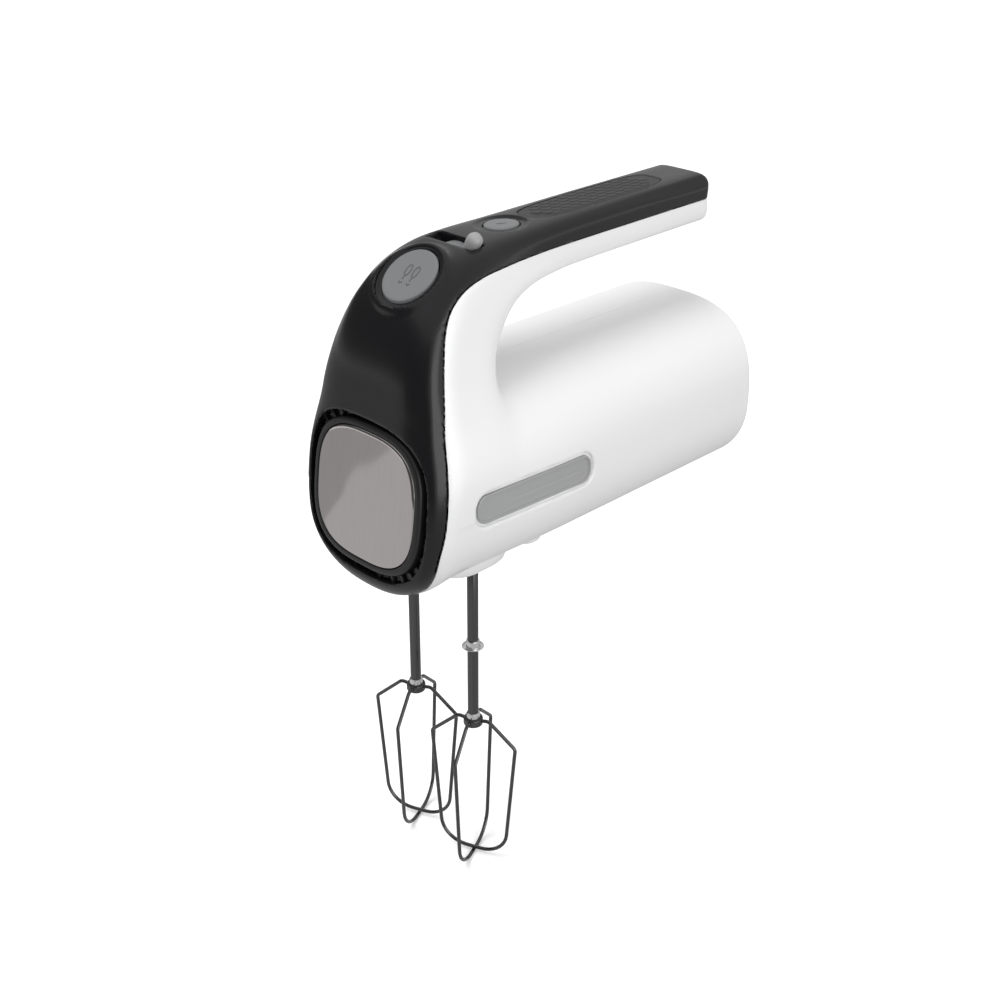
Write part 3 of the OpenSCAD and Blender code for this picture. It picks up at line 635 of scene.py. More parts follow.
def new_material(name, colour, roughness, metallic=0.0, specular=0.5):
    material = bpy.data.materials.new(name)
    material.use_nodes = True
    tree = material.node_tree
    shader = tree.nodes["Principled BSDF"]
    shader.inputs["Base Color"].default_value = (*colour, 1)
    shader.inputs["Roughness"].default_value = roughness
    shader.inputs["Metallic"].default_value = metallic
    shader.inputs["Specular IOR Level"].default_value = specular
    return material, tree, shader


def add_noise(tree, scale, detail=4.0, stretch=(1, 1, 1)):
    place = tree.nodes.new("ShaderNodeTexCoord")
    mapping = tree.nodes.new("ShaderNodeMapping")
    mapping.inputs["Scale"].default_value = stretch
    noise = tree.nodes.new("ShaderNodeTexNoise")
    noise.inputs["Scale"].default_value = scale
    noise.inputs["Detail"].default_value = detail
    tree.links.new(place.outputs["Object"], mapping.inputs["Vector"])
    tree.links.new(mapping.outputs["Vector"], noise.inputs["Vector"])
    return noise


def vary(tree, source, low, high, target):
    """Drives a shader input from a 0 to 1 texture, mapped to low and high."""
    ramp = tree.nodes.new("ShaderNodeMapRange")
    ramp.inputs["From Min"].default_value = 0.15
    ramp.inputs["From Max"].default_value = 0.85
    ramp.inputs["To Min"].default_value = low
    ramp.inputs["To Max"].default_value = high
    tree.links.new(source, ramp.inputs["Value"])
    tree.links.new(ramp.outputs["Result"], target)


def tint(tree, source, a, b, target):
    blend = tree.nodes.new("ShaderNodeMix")
    blend.data_type = "RGBA"
    blend.inputs[6].default_value = (*a, 1)
    blend.inputs[7].default_value = (*b, 1)
    tree.links.new(source, blend.inputs[0])
    tree.links.new(blend.outputs[2], target)


def add_bump(tree, source, strength, distance):
    bump = tree.nodes.new("ShaderNodeBump")
    bump.inputs["Strength"].default_value = strength
    bump.inputs["Distance"].default_value = distance
    tree.links.new(source, bump.inputs["Height"])
    tree.links.new(bump.outputs["Normal"], tree.nodes["Principled BSDF"].inputs["Normal"])
    return bump


def moulded(name, colour, roughness, grain=900.0, depth=0.00004, specular=0.5, spread=0.06):
    """Moulded plastic or rubber: fine grain, a slight change of tone, and handling marks in its gloss."""
    material, tree, shader = new_material(name, colour, roughness, specular=specular)
    marks = add_noise(tree, 22.0, 6.0)
    vary(tree, marks.outputs["Fac"], roughness - spread, roughness + spread, shader.inputs["Roughness"])
    tone = add_noise(tree, 9.0, 2.0)
    light = tuple(min(1, c * 1.02) for c in colour)
    dark = tuple(c * 0.98 for c in colour)
    tint(tree, tone.outputs["Fac"], dark, light, shader.inputs["Base Color"])
    fine = add_noise(tree, grain, 3.0)
    add_bump(tree, fine.outputs["Fac"], 0.25, depth)
    return material


def metal(name, colour, roughness, stretch=(1, 1, 1), grain=260.0, depth=0.00003, spread=0.06):
    """Drawn, brushed or plated metal: streaks along its grain in gloss and relief."""
    material, tree, shader = new_material(name, colour, roughness, metallic=1.0)
    streaks = add_noise(tree, grain, 5.0, stretch)
    vary(tree, streaks.outputs["Fac"], roughness - spread, roughness + spread, shader.inputs["Roughness"])
    light = tuple(min(1, c * 1.06) for c in colour)
    dark = tuple(c * 0.92 for c in colour)
    tint(tree, streaks.outputs["Fac"], dark, light, shader.inputs["Base Color"])
    add_bump(tree, streaks.outputs["Fac"], 0.2, depth)
    return material


white_plastic = moulded("white_plastic", (0.8, 0.8, 0.8), 0.30, grain=1400, depth=0.00001, spread=0.03)
black_plastic = moulded("black_plastic", (0.006, 0.006, 0.007), 0.26, grain=1200, depth=0.00001,
                        specular=0.45, spread=0.03)
charcoal_plastic = moulded("charcoal_plastic", (0.01, 0.01, 0.011), 0.4)
vent_plastic = moulded("vent_plastic", (0.012, 0.012, 0.013), 0.3, specular=0.6)
grip_rubber = moulded("grip_rubber", (0.035, 0.035, 0.036), 0.55, grain=1600, depth=0.00004)
grey_plastic = moulded("grey_plastic", (0.16, 0.163, 0.167), 0.42)
label_grey = moulded("label_grey", (0.33, 0.332, 0.335), 0.4)
knob_grey = moulded("knob_grey", (0.3, 0.3, 0.305), 0.42)
# Darker grey of the icons' lines: painted shade standing in for the shade inside engraved grooves
icon_painted_shade = moulded("icon_painted_shade", (0.1, 0.1, 0.102), 0.5)
nylon = moulded("nylon", (0.72, 0.7, 0.62), 0.5)
board_green = moulded("board_green", (0.03, 0.16, 0.07), 0.4)
carbon = moulded("carbon", (0.03, 0.03, 0.03), 0.7)
wire_sleeve = moulded("wire_sleeve", (0.3, 0.11, 0.04), 0.45)
nose_metal = metal("nose_metal", (0.56, 0.53, 0.525), 0.09, stretch=(1, 40, 1), grain=60, depth=0.000001,
                   spread=0.02)
# Steel of the beaters, its colour made dark to stand in for the dark surroundings it would mirror: painted
# dark reflection on steel that is really bright
beater_steel = metal("beater_steel", (0.12, 0.12, 0.122), 0.16, stretch=(1, 1, 0.1), grain=400, spread=0.04)
bright_steel = metal("bright_steel", (0.78, 0.78, 0.79), 0.12, grain=400, spread=0.04)
plain_steel = metal("plain_steel", (0.55, 0.55, 0.57), 0.3, grain=500)
core_steel = metal("core_steel", (0.25, 0.25, 0.27), 0.4, stretch=(30, 1, 1), grain=90)
bronze = metal("bronze", (0.55, 0.36, 0.16), 0.35, grain=500)
copper = metal("copper", (0.7, 0.3, 0.12), 0.35, stretch=(8, 1, 1), grain=200)

SLOT_MATERIALS = {
    "gloss_white": white_plastic, "satin_black": black_plastic, "charcoal_plastic": charcoal_plastic,
    "grip_rubber": grip_rubber, "nose_metal": nose_metal, "grey_plastic": grey_plastic,
    "bright_steel": beater_steel, "plain_steel": plain_steel, "core_steel": core_steel,
    "nylon": nylon, "bronze": bronze, "copper": copper, "carbon": carbon,
    "board_green": board_green, "wire_sleeve": wire_sleeve,
}

for part in frame["record"]["subparts"]:
    node = frame["nodes"][part["node"]]
    node.data.materials.clear()
    node.data.materials.append(SLOT_MATERIALS[part["material_slot"]])

# ---------------- shells

SHELL_STEP = 0.8


def make_white(name, sign, node):
    def field(x, y, z, side):
        return white_field(x, y, z, side, sign < 0)

    def keep(x, y, z, side):
        return np.minimum(white_keep(x, y, z, side), y - 0.06)

    points, normals, tris = half_shell(field, keep, SHELL_STEP, 150.0)
    points, tris = with_skirt(points, normals, tris, 2.0, lambda p: p[:, 0] < -1e9)
    if sign < 0:
        points = points * [1, -1, 1]
        tris = tris[:, ::-1]
    return add_piece(name, points, tris, "root", "gloss_white", white_plastic, (node,))


def make_cover():
    def keep(x, y, z, side):
        return np.minimum(cover_keep(x, y, z, side), y)

    points, normals, tris = half_shell(cover_field, keep, SHELL_STEP, 143.0)
    on_middle = np.abs(points[:, 1]) < 1e-6
    points, tris = with_skirt(points, normals, tris, 2.2, lambda p: np.abs(p[:, 1]) < 1e-6)
    mirrored = points * [1, -1, 1]
    faces = [tuple(t) for t in tris] + [tuple(i + len(points) for i in t[::-1]) for t in tris.tolist()]
    points = np.vstack([points, mirrored])
    swap = np.arange(len(points))
    middle = np.nonzero(on_middle)[0]
    swap[middle + len(points) // 2] = middle
    faces = [tuple(swap[list(f)]) for f in faces]
    used, back = np.unique(np.array(faces), return_inverse=True)
    piece = add_piece("cover_shell", points[used], back.reshape(-1, 3), "root", "satin_black",
                      black_plastic, ("front_cover",))
    return piece


make_white("left_shell", 1, "left_housing")
make_white("right_shell", -1, "right_housing")
make_cover()

# ---------------- nose


def rounded(half_u, half_v, radius, per_corner=6):
    """Rounded rectangle, counter-clockwise."""
    points = []
    for corner in range(4):
        su, sv = [(1, 1), (-1, 1), (-1, -1), (1, -1)][corner]
        for i in range(per_corner + 1):
            a = math.pi / 2 * (corner + i / per_corner)
            points.append((su * (half_u - radius) + radius * math.cos(a),
                           sv * (half_v - radius) + radius * math.sin(a)))
    return np.array(points)


def prism(outline, levels, origin, u=(1, 0, 0), v=(0, 1, 0), w=(0, 0, 1), caps=True):
    """Shape built up in levels of (inset, height) from an outline that takes an inset."""
    rings = frame_rings([(outline(i), h) for i, h in levels], origin, u, v, w)
    return rings_to_mesh(rings, caps=caps)


X_AXIS, Y_AXIS, Z_AXIS = (1, 0, 0), (0, 1, 0), (0, 0, 1)
NOSE_CENTRE = np.array([NOSE_X, 0, NOSE_Z])
NOSE_UP = np.array([-math.sin(NOSE_LEAN), 0, math.cos(NOSE_LEAN)])
NOSE_OUT = np.array([math.cos(NOSE_LEAN), 0, math.sin(NOSE_LEAN)])


def nose_outline(half):
    return lambda inset: squircle(half[0] - inset, half[1] - inset, NOSE_N, 120)


def facing_front(outline, levels, caps=True):
    """Built outward from the nose's leaning plane."""
    return prism(outline, levels, NOSE_CENTRE, Y_AXIS, NOSE_UP, NOSE_OUT, caps)


bezel_levels = [
    (1.6, -4.4), (0.4, -4.4), (0, -4.0), (0, -0.8), (0.2, -0.2), (0.7, 0.3), (1.5, 0.6),
    (2.4, 0.7), (2.75, 0.6), (2.95, 0.3), (3.0, -0.1), (3.0, -1.5),
]
add_piece("bezel_ring", *facing_front(nose_outline(BEZEL_HALF), bezel_levels, False), "root",
          "charcoal_plastic", charcoal_plastic, ("nose_bezel",))

DOME = 1.75
plate_levels = [(0.1, -1.2), (0, -0.9), (0, 0.2), (0.1, 0.45), (0.3, 0.6)]
for inset in [0.7, 1.4, 2.6, 4.5, 7, 10, 13.5, 17.5, 21, 24.5, 26.8]:
    share = 1 - inset / PLATE_HALF[1]
    plate_levels.append((inset, 2.46 - DOME * share**2))
add_piece("nose_plate_face", *facing_front(nose_outline([h - 0.2 for h in PLATE_HALF]), plate_levels), "root",
          "nose_metal", nose_metal, ("nose_plate",), crease=60)

ribs = []
nose_side = np.array(Y_AXIS)
for spot in squircle(RECESS_HALF[0] - 1.2, RECESS_HALF[1] - 1.2, NOSE_N, 30):
    out = spot / np.hypot(*spot)
    across, along = out[0] * nose_side + out[1] * NOSE_UP, out[0] * NOSE_UP - out[1] * nose_side
    foot = NOSE_CENTRE + spot[0] * nose_side + spot[1] * NOSE_UP
    ribs.append(prism(lambda k: rounded(1.7 - k, 0.75 - k, 0.3), [(0, -4.7), (0, -3.4), (0.25, -3.1)],
                      foot, across, along, NOSE_OUT))
add_piece("vent_ribs", *join(ribs), "root", "satin_black", vent_plastic)

# ---------------- label plates


def flank_y(x, z, depth):
    """Height over the middle plane of the barrel's flank, at a depth under its skin."""
    y = np.full(np.shape(x), 42.0)
    for _ in range(8):
        f = barrel_section(x, y, z) + depth
        y = y - f / ((barrel_section(x, y + 0.05, z) + depth - f) / 0.05)
    return y


def label_plate(sign):
    levels = [
        (0.05, 1.3), (0.05, 0.6), (0.12, 0.35), (0.35, 0.2), (0.75, 0.17), (1.05, 0.24), (1.25, 0.5),
        (1.4, 0.82), (1.7, 0.9), (3.2, 0.9), (4.8, 0.9), (6.2, 0.9),
    ]
    rings = []
    for inset, depth in levels:
        p = rounded(TRIM_HALF[0] - inset, TRIM_HALF[1] - inset, max(TRIM_CORNER - inset, 0.05), 12)
        x, z = TRIM_X + p[:, 0], TRIM_Z + p[:, 1]
        rings.append(np.stack([x, sign * flank_y(x, z, depth), z], 1))
    points, faces = rings_to_mesh(rings, caps=True)
    return points, faces if sign < 0 else [f[::-1] for f in faces]


for name, sign in (("left", 1), ("right", -1)):
    add_piece(name + "_label", *label_plate(sign), "root", "grey_plastic", label_grey,
              (name + "_trim_plate",))

# ---------------- underside and heel

BOSS_X, BOSS_HALF, BOSS_Z = 51.0, (22.0, 24.6), 153.0
FOOT_X, FOOT_HALF, FOOT_Z = 17.0, (9.3, 21.0), 152.0
AXIS_X, AXIS_Y = 54.0, 19.0


def cut_away(solid, cutters):
    """The solid's points and faces with the cutters' shapes taken out of it."""

    def stand_in(name, parts):
        mesh = bpy.data.meshes.new(name)
        mesh.from_pydata(np.asarray(parts[0], float).tolist(), [], [tuple(map(int, f)) for f in parts[1]])
        thing = bpy.data.objects.new(name, mesh)
        collection.objects.link(thing)
        return thing

    whole, tools = stand_in("whole", solid), stand_in("tools", join(cutters))
    cut = whole.modifiers.new("cut", "BOOLEAN")
    cut.operation, cut.object, cut.solver = "DIFFERENCE", tools, "EXACT"
    cut.use_self = True
    depsgraph = bpy.context.evaluated_depsgraph_get()
    mesh = whole.evaluated_get(depsgraph).to_mesh()
    points = np.array([v.co for v in mesh.vertices])
    faces = [tuple(p.vertices) for p in mesh.polygons]
    whole.to_mesh_clear()
    for thing in (whole, tools):
        bpy.data.objects.remove(thing)
    return points, faces


def pad(half_x, half_y, n, slope):
    """Outline of a pad under the body; its two ends slope in more than its sides."""
    return lambda k: squircle(half_x - slope * k, half_y - 0.6 * k, n, 96)


boss_levels = [(2.9, 0.0), (1.9, 0.25), (1.2, 0.9), (0.4, 3.4), (0, 4.8), (-0.6, 7.5), (-0.6, 15)]
boss = prism(pad(*BOSS_HALF, 3.2, 1.9), boss_levels, (BOSS_X, 0, BOSS_Z))
sockets = [
    lathe([(0, -1), (4.4, -1), (3.9, 0.6), (3.9, 20), (0, 20)], (AXIS_X, s * AXIS_Y, BOSS_Z), count=40)
    for s in (-1, 1)
]
middle = prism(lambda k: rounded(11 - k, 8 - k, 2.5), [(-0.5, -1), (0.4, 0.5), (0.6, 8)], (AXIS_X, 0, BOSS_Z))
add_piece("boss_pad", *cut_away(boss, sockets + [middle]), "root", "gloss_white", white_plastic,
          ("socket_boss",), crease=30)

foot_levels = [(2.2, 0.0), (1.4, 0.25), (0.8, 0.9), (0.3, 2.6), (0, 4), (0, 8)]
add_piece("foot_pad", *prism(pad(*FOOT_HALF, 3, 1.3), foot_levels, (FOOT_X, 0, FOOT_Z)), "root",
          "gloss_white", white_plastic, ("rear_foot",), crease=30)


def heel_outline(inset):
    a = 2 * math.pi * np.arange(120) / 120
    c, s = np.cos(a), np.sin(a)
    n = np.where(s > 0, 2.85, 2.2)
    h = np.where(s > 0, BARREL_RISE, BARREL_DROP) - WALL - 0.3 - inset
    w = BARREL_W - WALL - 0.3 - inset
    return np.stack([w * np.sign(c) * np.abs(c) ** (2 / n), h * np.sign(s) * np.abs(s) ** (2 / n)], 1)


GLAND_Z = 172.0
heel = prism(heel_outline, [(0.7, 0.2), (0.25, 0.35), (0, 0.8), (0, 2.4)], (HEEL_X, 0, BARREL_Z),
             Y_AXIS, Z_AXIS, X_AXIS)
slots = [
    prism(lambda k: rounded(1.15 - k, 13 - k, 1.1), [(-0.35, -0.5), (0, 0.6), (0, 4)],
          (HEEL_X, 6 * i, BARREL_Z + 8), Y_AXIS, Z_AXIS, X_AXIS)
    for i in range(-4, 5)
]
hole = lathe([(0, -1), (5.7, -1), (5.7, 5), (0, 5)], (HEEL_X, 0, GLAND_Z), X_AXIS, 48)
add_piece("heel_grille", *cut_away(heel, slots + [hole]), "root", "gloss_white", white_plastic,
          ("heel_plate",), crease=30)
gland = lathe([(0, 12.5), (3.5, 12.5), (3.5, 0.6), (3.9, 0.15), (4.9, 0.15), (5.4, 0.5), (5.5, 1.2),
               (5.5, 13.5), (0, 13.5)], (HEEL_X, 0, GLAND_Z), X_AXIS, 48)
add_piece("gland_sleeve", *gland, "root", "charcoal_plastic", charcoal_plastic, ("cable_gland",))

# ---------------- controls

u_tilt = np.array([math.cos(EJECTOR_TILT), 0, -math.sin(EJECTOR_TILT)])
button_levels = [(0, -2.2), (0, -0.75), (0.12, -0.35), (0.4, -0.1), (0.8, -0.02), (1.5, -0.05), (4, -0.16),
                 (8, -0.24), (11.8, -0.26)]


def disc(inset):
    return squircle(EJECTOR_R - inset, EJECTOR_R - inset, 2, 96)


rings = frame_rings([(disc(i), h) for i, h in button_levels], EJECTOR, u_tilt, Y_AXIS, EJECTOR_AXIS)
rings[0] = rings[1] - [0, 0, 5.2]
add_piece("ejector_cap", *rings_to_mesh(rings), "ejector", "grey_plastic", grey_plastic, ("ejector_button",))

surround = [
    (16.2, -2.2), (16.1, -0.75), (15.8, -0.42), (15.3, -0.25), (14.9, -0.27), (14.5, -0.42),
    (14.2, -0.7), (13.8, -0.85), (13.1, -0.88), (12.9, -1.05), (12.85, -1.5), (12.85, -5.0),
]
rings = frame_rings([(squircle(r, r, 2, 120), h) for r, h in surround], EJECTOR, u_tilt, Y_AXIS, EJECTOR_AXIS)
add_piece("ejector_surround", *rings_to_mesh(rings, caps=False), "root", "satin_black", black_plastic)


def line_icon(strokes, origin, u, v, w, radius):
    """Thin lines lying on a face: each stroke is a path of (u, v) points."""
    u, v, w = (np.asarray(a, float) for a in (u, v, w))
    parts = []
    for stroke in strokes:
        path = np.asarray(origin, float) + np.array([p[0] * u + p[1] * v for p in stroke])
        parts.append(tube(path, radius, 8, w))
    return join(parts)


def capsule_path(cu, cv, half_u, half_v, count=25):
    a = np.linspace(-math.pi / 2, 1.5 * math.pi, count)
    return [(cu + half_u * math.cos(t), cv + half_v * math.sin(t)) for t in a]


# The ejector's icon is drawn as dark lines whose colour is painted shade of engraving
whisks = []
for s in (-1, 1):
    whisks.append(capsule_path(2.1 * s, 1.9, 1.25, 2.6))
    whisks.append([(2.1 * s, -0.8), (2.1 * s, -2.6)])
    whisks.append([(2.1 * s - 0.9, -3.6), (2.1 * s, -4.6), (2.1 * s + 0.9, -3.6)])
face = EJECTOR - 0.22 * EJECTOR_AXIS
add_piece("ejector_icon", *line_icon(whisks, face, Y_AXIS, -u_tilt, EJECTOR_AXIS, 0.2), "ejector",
          "grey_plastic", icon_painted_shade)

DRUM_Z, DRUM_R, TAB_ANGLE = 276.0, 13.4, math.radians(34)
drum = lathe([(2.6, -3), (DRUM_R - 0.6, -3), (DRUM_R - 0.15, -2.8), (DRUM_R, -2.35), (DRUM_R, 2.35),
              (DRUM_R - 0.15, 2.8), (DRUM_R - 0.6, 3), (2.6, 3)], (SLOT_X, 0, DRUM_Z), X_AXIS, 96)
add_piece("selector_wheel", *drum, "selector", "grey_plastic", grey_plastic, ("selector_drum",))
tab_out = np.array([0, math.sin(TAB_ANGLE), math.cos(TAB_ANGLE)])
tab_side = np.array([0, math.cos(TAB_ANGLE), -math.sin(TAB_ANGLE)])


def tab_outline(inset):
    return squircle(3.0 - inset, 3.1 - inset, 2.5, 40)


tab_levels = [(0.35, -1.5), (0.25, 3), (0, 5.5), (0, 7.2), (0.25, 8.1), (0.8, 8.9), (1.6, 9.35), (2.5, 9.5)]
tab_foot = np.array([SLOT_X, 0, DRUM_Z]) + DRUM_R * tab_out
tab = prism(tab_outline, tab_levels, tab_foot, X_AXIS, tab_side, tab_out)
add_piece("selector_knob", *tab, "selector", "grey_plastic", knob_grey, ("selector_tab",))


def oval_outline(inset):
    return squircle(TURBO_HALF[0] - inset, TURBO_HALF[1] - inset, 2, 72)


cap_levels = [(0, -4), (0, -0.6), (0.12, -0.3), (0.45, -0.08), (1.0, 0), (3, -0.06), (6.2, -0.1)]
turbo_cap = prism(oval_outline, cap_levels, (TURBO_X, 0, TURBO_TOP - 0.35))
add_piece("turbo_cap", *turbo_cap, "turbo", "grey_plastic", grey_plastic, ("turbo_button",))
# The turbo button's bolt mark, also in the painted shade of engraving
bolt = [[(1.9, -1.0), (-0.4, 0.5), (0.5, -0.5), (-1.8, 1.0)]]
bolt_icon = line_icon(bolt, (TURBO_X, 0, TURBO_TOP - 0.43), X_AXIS, Y_AXIS, Z_AXIS, 0.18)
add_piece("turbo_icon", *bolt_icon, "turbo", "grey_plastic", icon_painted_shade)

# ---------------- grip pad

SCALE_X, SCALE_Y, SCALE_R = 5.6, 3.3, 2.75
GRIP_SINK = 0.12


def grip_height(x, y):
    """Relief of overlapping scales, in rows along the pad that thin out at its ends."""
    best = np.zeros(np.broadcast(x, y).shape)
    for row in range(-3, 4):
        shift = 0.5 * (row % 2)
        column = np.rint(x / SCALE_X - shift)
        for side in (-1, 0, 1):
            cx = (column + side + shift) * SCALE_X
            cy = row * SCALE_Y - 0.4
            reach = 1 - ease((np.abs(cx) / 36.5 - 0.75 - 0.25 * (1 - abs(row) / 3)) / 0.08)
            d = np.hypot((x - cx) / 1.02, y - cy)
            rise = np.clip(0.5 + 0.5 * (y - cy) / SCALE_R, 0, 1)
            best = np.maximum(best, reach * (0.16 + 0.6 * rise) * ease((SCALE_R - d) / 0.4))
    return best


def grip_mesh():
    half_x, half_y = GRIP_HALF
    nx, ny = ((300, 72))
    u = np.linspace(-1, 1, nx + 1)[:, None]
    v = np.linspace(-1, 1, ny + 1)[None, :]
    x = half_x * u * np.ones_like(v)
    reach = half_y * (1 - np.abs(u) ** 4 * 0.999) ** 0.25
    y = v * reach
    rim = np.minimum(half_x - np.abs(x), reach - np.abs(y))
    z = GRIP_TOP - GRIP_SINK - GRIP_SLOPE * x - 0.4 * (1 - ease(rim / 0.7))
    z = z + grip_height(x, y) * ease((rim - 0.8) / 1.2)
    points = np.stack([GRIP_X + x, y, z], -1).reshape(-1, 3)
    faces = []
    for i in range(nx):
        for j in range(ny):
            a = i * (ny + 1) + j
            faces.append((a, a + ny + 1, a + ny + 2, a + 1))
    return points, faces


add_piece("grip_scales", *grip_mesh(), "root", "grip_rubber", grip_rubber, ("grip_pad",), crease=50)

# ---------------- beaters

WIRE_R = 0.85
HUB_Z = 73.2
COLLAR_Z = 113.8
SHAFT_R = 2.45
SHAFT_TOP = 184.9


def filleted(corners, radii, per_turn=9):
    """Straight runs between corners, joined by arcs."""
    corners = [np.asarray(c, float) for c in corners]
    path = [corners[0]]
    for a, b, c, r in zip(corners, corners[1:], corners[2:], radii):
        into, out = (b - a) / np.linalg.norm(b - a), (c - b) / np.linalg.norm(c - b)
        angle = math.acos(np.clip(into @ out, -1, 1))
        reach = r * math.tan(angle / 2)
        start = b - into * reach
        side = out - into * (out @ into)
        side /= np.linalg.norm(side)
        for i in range(per_turn + 1):
            t = angle * i / per_turn
            path.append(start + r * (math.sin(t) * into + (1 - math.cos(t)) * side))
    path.append(corners[-1])
    return np.array(path)


def loop(y, turn, lift):
    arm = filleted([(3.2, 74.6), (7.4, 75.3), (20.35, 63.2), (15.6, 0.3), (0, 0)], [3.0, 2.4, 13.0])
    both = np.vstack([arm[:-1], arm[::-1] * [-1, 1]])
    c, s = math.cos(turn), math.sin(turn)
    z = WIRE_R + lift + both[:, 1] * (74.5 - lift) / 74.5
    path = np.stack([AXIS_X + c * both[:, 0], y + s * both[:, 0], z], 1)
    return tube(path, WIRE_R, 16, (-s, c, 0))


def shaft(y):
    """Rod with two shallow flutes down its length."""
    a = 2 * math.pi * np.arange(64) / 64
    rings = []
    for z, shrink in [(HUB_Z, 0), (HUB_Z + 9, 0), (SHAFT_TOP - 1.2, 0), (SHAFT_TOP, 0.8)]:
        flute = 0.0 if z < HUB_Z + 1 else 0.3
        r = SHAFT_R - shrink - flute * np.exp(-((np.abs(np.sin(a - 0.35)) / 0.16) ** 2))
        rings.append(np.stack([AXIS_X + r * np.cos(a), y + r * np.sin(a), np.full(64, z)], 1))
    return rings_to_mesh(rings)


# Rods, cups and wires take the steel with painted dark reflection; the sleeves and collar keep the bright
# steel
for name, s in (("left", 1), ("right", -1)):
    y = s * AXIS_Y
    body = name + "_beater"
    add_piece(name + "_rod", *shaft(y), body, "bright_steel", beater_steel, (name + "_beater_shaft",))
    cup = lathe([(0, 0.3), (3.0, 0.3), (3.4, 0), (3.9, 0.05), (4.25, 0.35), (4.4, 0.9), (4.4, 3.1),
                 (4.25, 3.5), (4.0, 3.6), (3.7, 3.4), (3.4, 2.9), (2.5, 2.8)], (AXIS_X, y, HUB_Z), count=56)
    add_piece(name + "_cup", *cup, body, "bright_steel", beater_steel, (name + "_beater_hub",))
    sleeve = lathe([(2.4, 2.7), (3.1, 2.7), (3.15, 5.6), (3.0, 6.1), (2.5, 6.4)], (AXIS_X, y, HUB_Z),
                   count=48)
    add_piece(name + "_sleeve", *sleeve, body, "bright_steel", bright_steel)
    for which, turn, lift in (("outer", 22.5, 0), ("inner", 112.5, 2 * WIRE_R)):
        add_piece(f"{name}_{which}_wire", *loop(y, math.radians(turn), lift), body, "bright_steel",
                  beater_steel, (f"{name}_{which}_loop",))
flange = lathe([(2.45, 0.1), (3.6, 0.1), (4.5, 0.3), (4.85, 0.6), (4.9, 0.8), (4.75, 0.9), (4.4, 0.75),
                (3.5, 0.55), (3.1, 0.7), (3.05, 3.4), (2.9, 3.9), (2.45, 4.0)],
               (AXIS_X, AXIS_Y, COLLAR_Z), count=56)
add_piece("collar", *flange, "left_beater", "bright_steel", bright_steel, ("collar_ring",))

# ---------------- stage, lights and camera


def add_light(name, place, target, size, power, colour=(1, 1, 1)):
    lamp = bpy.data.lights.new(name, "AREA")
    lamp.shape = "RECTANGLE"
    lamp.size, lamp.size_y = size
    lamp.energy = power
    lamp.color = colour
    light = bpy.data.objects.new(name, lamp)
    light.location = place
    light.rotation_mode = "QUATERNION"
    light.rotation_quaternion = (Vector(target) - Vector(place)).to_track_quat("-Z", "Y")
    collection.objects.link(light)
    return light


def flat_mesh(name, corners, material):
    mesh = bpy.data.meshes.new(name)
    mesh.from_pydata(corners, [], [tuple(range(len(corners)))])
    mesh.materials.append(material)
    plane = bpy.data.objects.new(name, mesh)
    collection.objects.link(plane)
    return plane


floor_material, _, floor_shader = new_material("floor", (0.92, 0.92, 0.92), 0.7, specular=0.2)
floor_shader.inputs["Emission Color"].default_value = (1, 1, 1, 1)
floor_shader.inputs["Emission Strength"].default_value = 0.15
flat_mesh("floor", [(-6, -6, 0), (6, -6, 0), (6, 6, 0), (-6, 6, 0)], floor_material)

world = bpy.data.worlds.new("studio")
bpy.context.scene.world = world
world.use_nodes = True
world.node_tree.nodes["Background"].inputs["Color"].default_value = (1, 1, 1, 1)
world.node_tree.nodes["Background"].inputs["Strength"].default_value = 0.62
bpy.context.scene.view_settings.view_transform = "Standard"

sun = bpy.data.lights.new("overhead", "SUN")
sun.energy = 2.0
sun.angle = math.radians(50)
overhead = bpy.data.objects.new("overhead", sun)
overhead.rotation_mode = "QUATERNION"
overhead.rotation_quaternion = Vector((-0.3, 0.3, -1)).to_track_quat("-Z", "Y")
collection.objects.link(overhead)
side_light = add_light("side", (0.2, 0.85, 0.5), (0.02, 0, 0.2), (0.7, 0.3), 3.4)
for light in (overhead, side_light):
    light.visible_glossy = False


def glow_material(name, strength):
    material = bpy.data.materials.new(name)
    material.use_nodes = True
    tree = material.node_tree
    tree.nodes.clear()
    glow = tree.nodes.new("ShaderNodeEmission")
    glow.inputs["Strength"].default_value = strength
    clear = tree.nodes.new("ShaderNodeBsdfTransparent")
    side = tree.nodes.new("ShaderNodeNewGeometry")
    blend = tree.nodes.new("ShaderNodeMixShader")
    output = tree.nodes.new("ShaderNodeOutputMaterial")
    tree.links.new(side.outputs["Backfacing"], blend.inputs[0])
    tree.links.new(glow.outputs["Emission"], blend.inputs[1])
    tree.links.new(clear.outputs["BSDF"], blend.inputs[2])
    tree.links.new(blend.outputs["Shader"], output.inputs["Surface"])
    return material


def add_card(name, corners, strength, diffuse=False):
    """A card that shows in glossy reflections, and may light nearby surfaces, but isn't seen itself."""
    card = flat_mesh(name, corners, glow_material(name, strength))
    card.visible_camera = False
    card.visible_diffuse = diffuse
    card.visible_shadow = False
    card.visible_transmission = False
    return card


# Grey sheet just over the floor, seen only from above, that keeps the underside from glowing
add_card("grey_sheet", [(-1.5, -1.5, 0.001), (1.5, -1.5, 0.001), (1.5, 1.5, 0.001), (-1.5, 1.5, 0.001)],
         0.5, True)
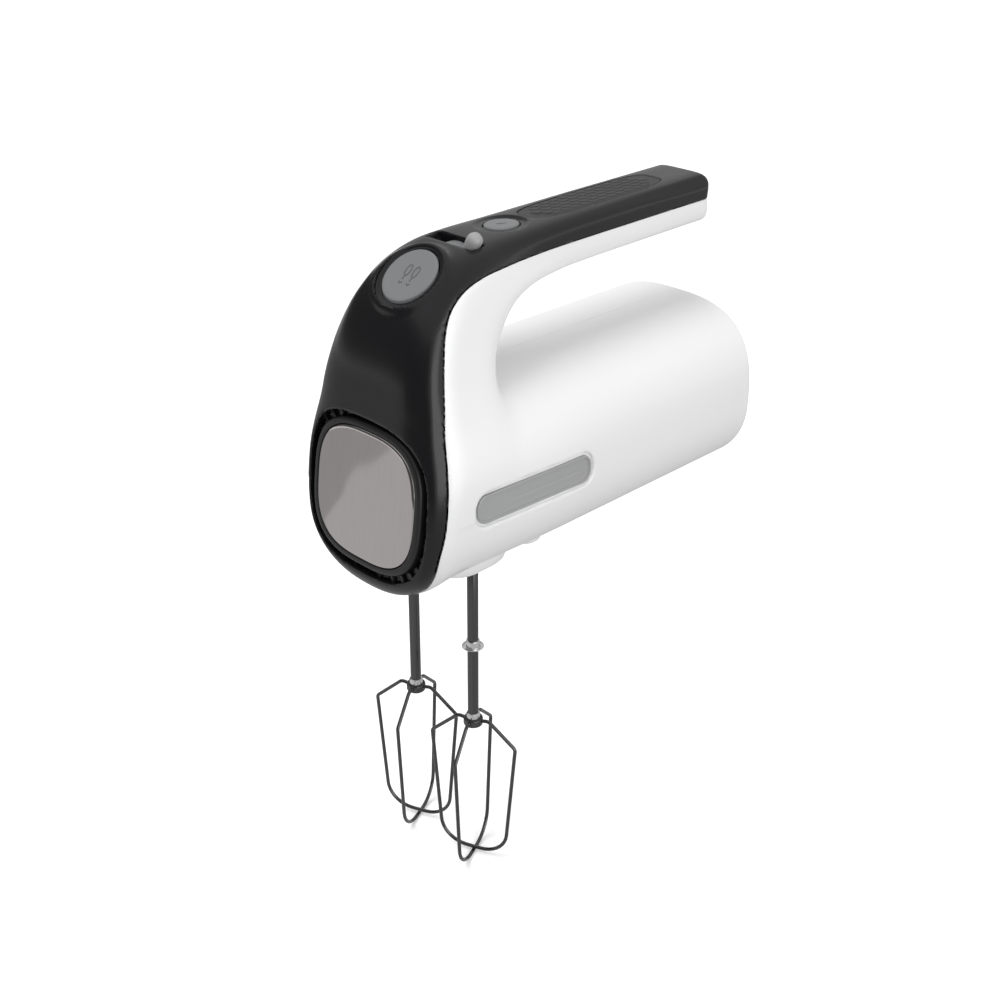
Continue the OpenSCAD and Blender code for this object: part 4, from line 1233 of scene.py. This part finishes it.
# Cards in front of the nose: two tones meet along a line that the nose plate mirrors
LINE_NEAR, LINE_FAR = (-0.11, -0.07, 0.002), (2.69, -2.07, 0.002)
add_card("plate_card_dark", [LINE_NEAR, (-0.8, -1.0, 0.002), (0.9, -3.2, 0.002), LINE_FAR], 0.42)
add_card("plate_card_light", [LINE_NEAR, LINE_FAR, (3.2, -0.6, 0.002), (0.3, 0.1, 0.002)], 0.6)
# Bright panels beside and behind the mixer, which the cover's bevel and the handle's crease mirror
add_card("edge_panel", [(-0.45, 1.0, 0.02), (0.55, 1.0, 0.02), (0.55, 1.0, 0.65), (-0.45, 1.0, 0.65)], 2.6)
add_card("crease_panel", [(-1.2, 0.2, 0.9), (-1.2, -0.1, 0.9), (-1.2, -0.1, 1.6), (-1.2, 0.2, 1.6)], 5.0)
# Dark curved wall round the front and right side, which the black cover mirrors. It is raised where the
# nose plate looks under it at the floor.
WALL_PANELS, RAISED_PANELS = 18, 10
WALL_AWAY, WALL_TOP, WALL_RAISED = 0.9, 0.8, 0.28
edge = [math.radians(-105 + 148 * i / WALL_PANELS) for i in range(WALL_PANELS + 1)]
edge = [(WALL_AWAY * math.cos(a), WALL_AWAY * math.sin(a)) for a in edge]
for i, (a, b) in enumerate(zip(edge, edge[1:])):
    foot = WALL_RAISED if i < RAISED_PANELS else 0.0
    add_card(f"dark_wall_{i}", [(*b, foot), (*a, foot), (*a, WALL_TOP), (*b, WALL_TOP)], 0.1)

# The camera stands at the front left corner of the mixer, a little above it
AZIMUTH = math.radians(44.704)
ELEVATION = math.radians(27.2)
ROLL = math.radians(0.292)
forward = Vector((-math.cos(AZIMUTH) * math.cos(ELEVATION), -math.sin(AZIMUTH) * math.cos(ELEVATION),
                  -math.sin(ELEVATION)))
level = Vector((-math.sin(AZIMUTH), math.cos(AZIMUTH), 0))
upright = level.cross(forward)
right = level * math.cos(ROLL) + upright * math.sin(ROLL)
up = upright * math.cos(ROLL) - level * math.sin(ROLL)
camera_data = bpy.data.cameras.new("camera")
camera_data.sensor_width = 36
camera_data.lens = 52.49
camera = bpy.data.objects.new("camera", camera_data)
turn = Matrix((right, up, -forward)).transposed().to_4x4()
camera.matrix_world = Matrix.Translation(Vector((0.42696, 0.40429, 0.46144))) @ turn
collection.objects.link(camera)
bpy.context.scene.camera = camera
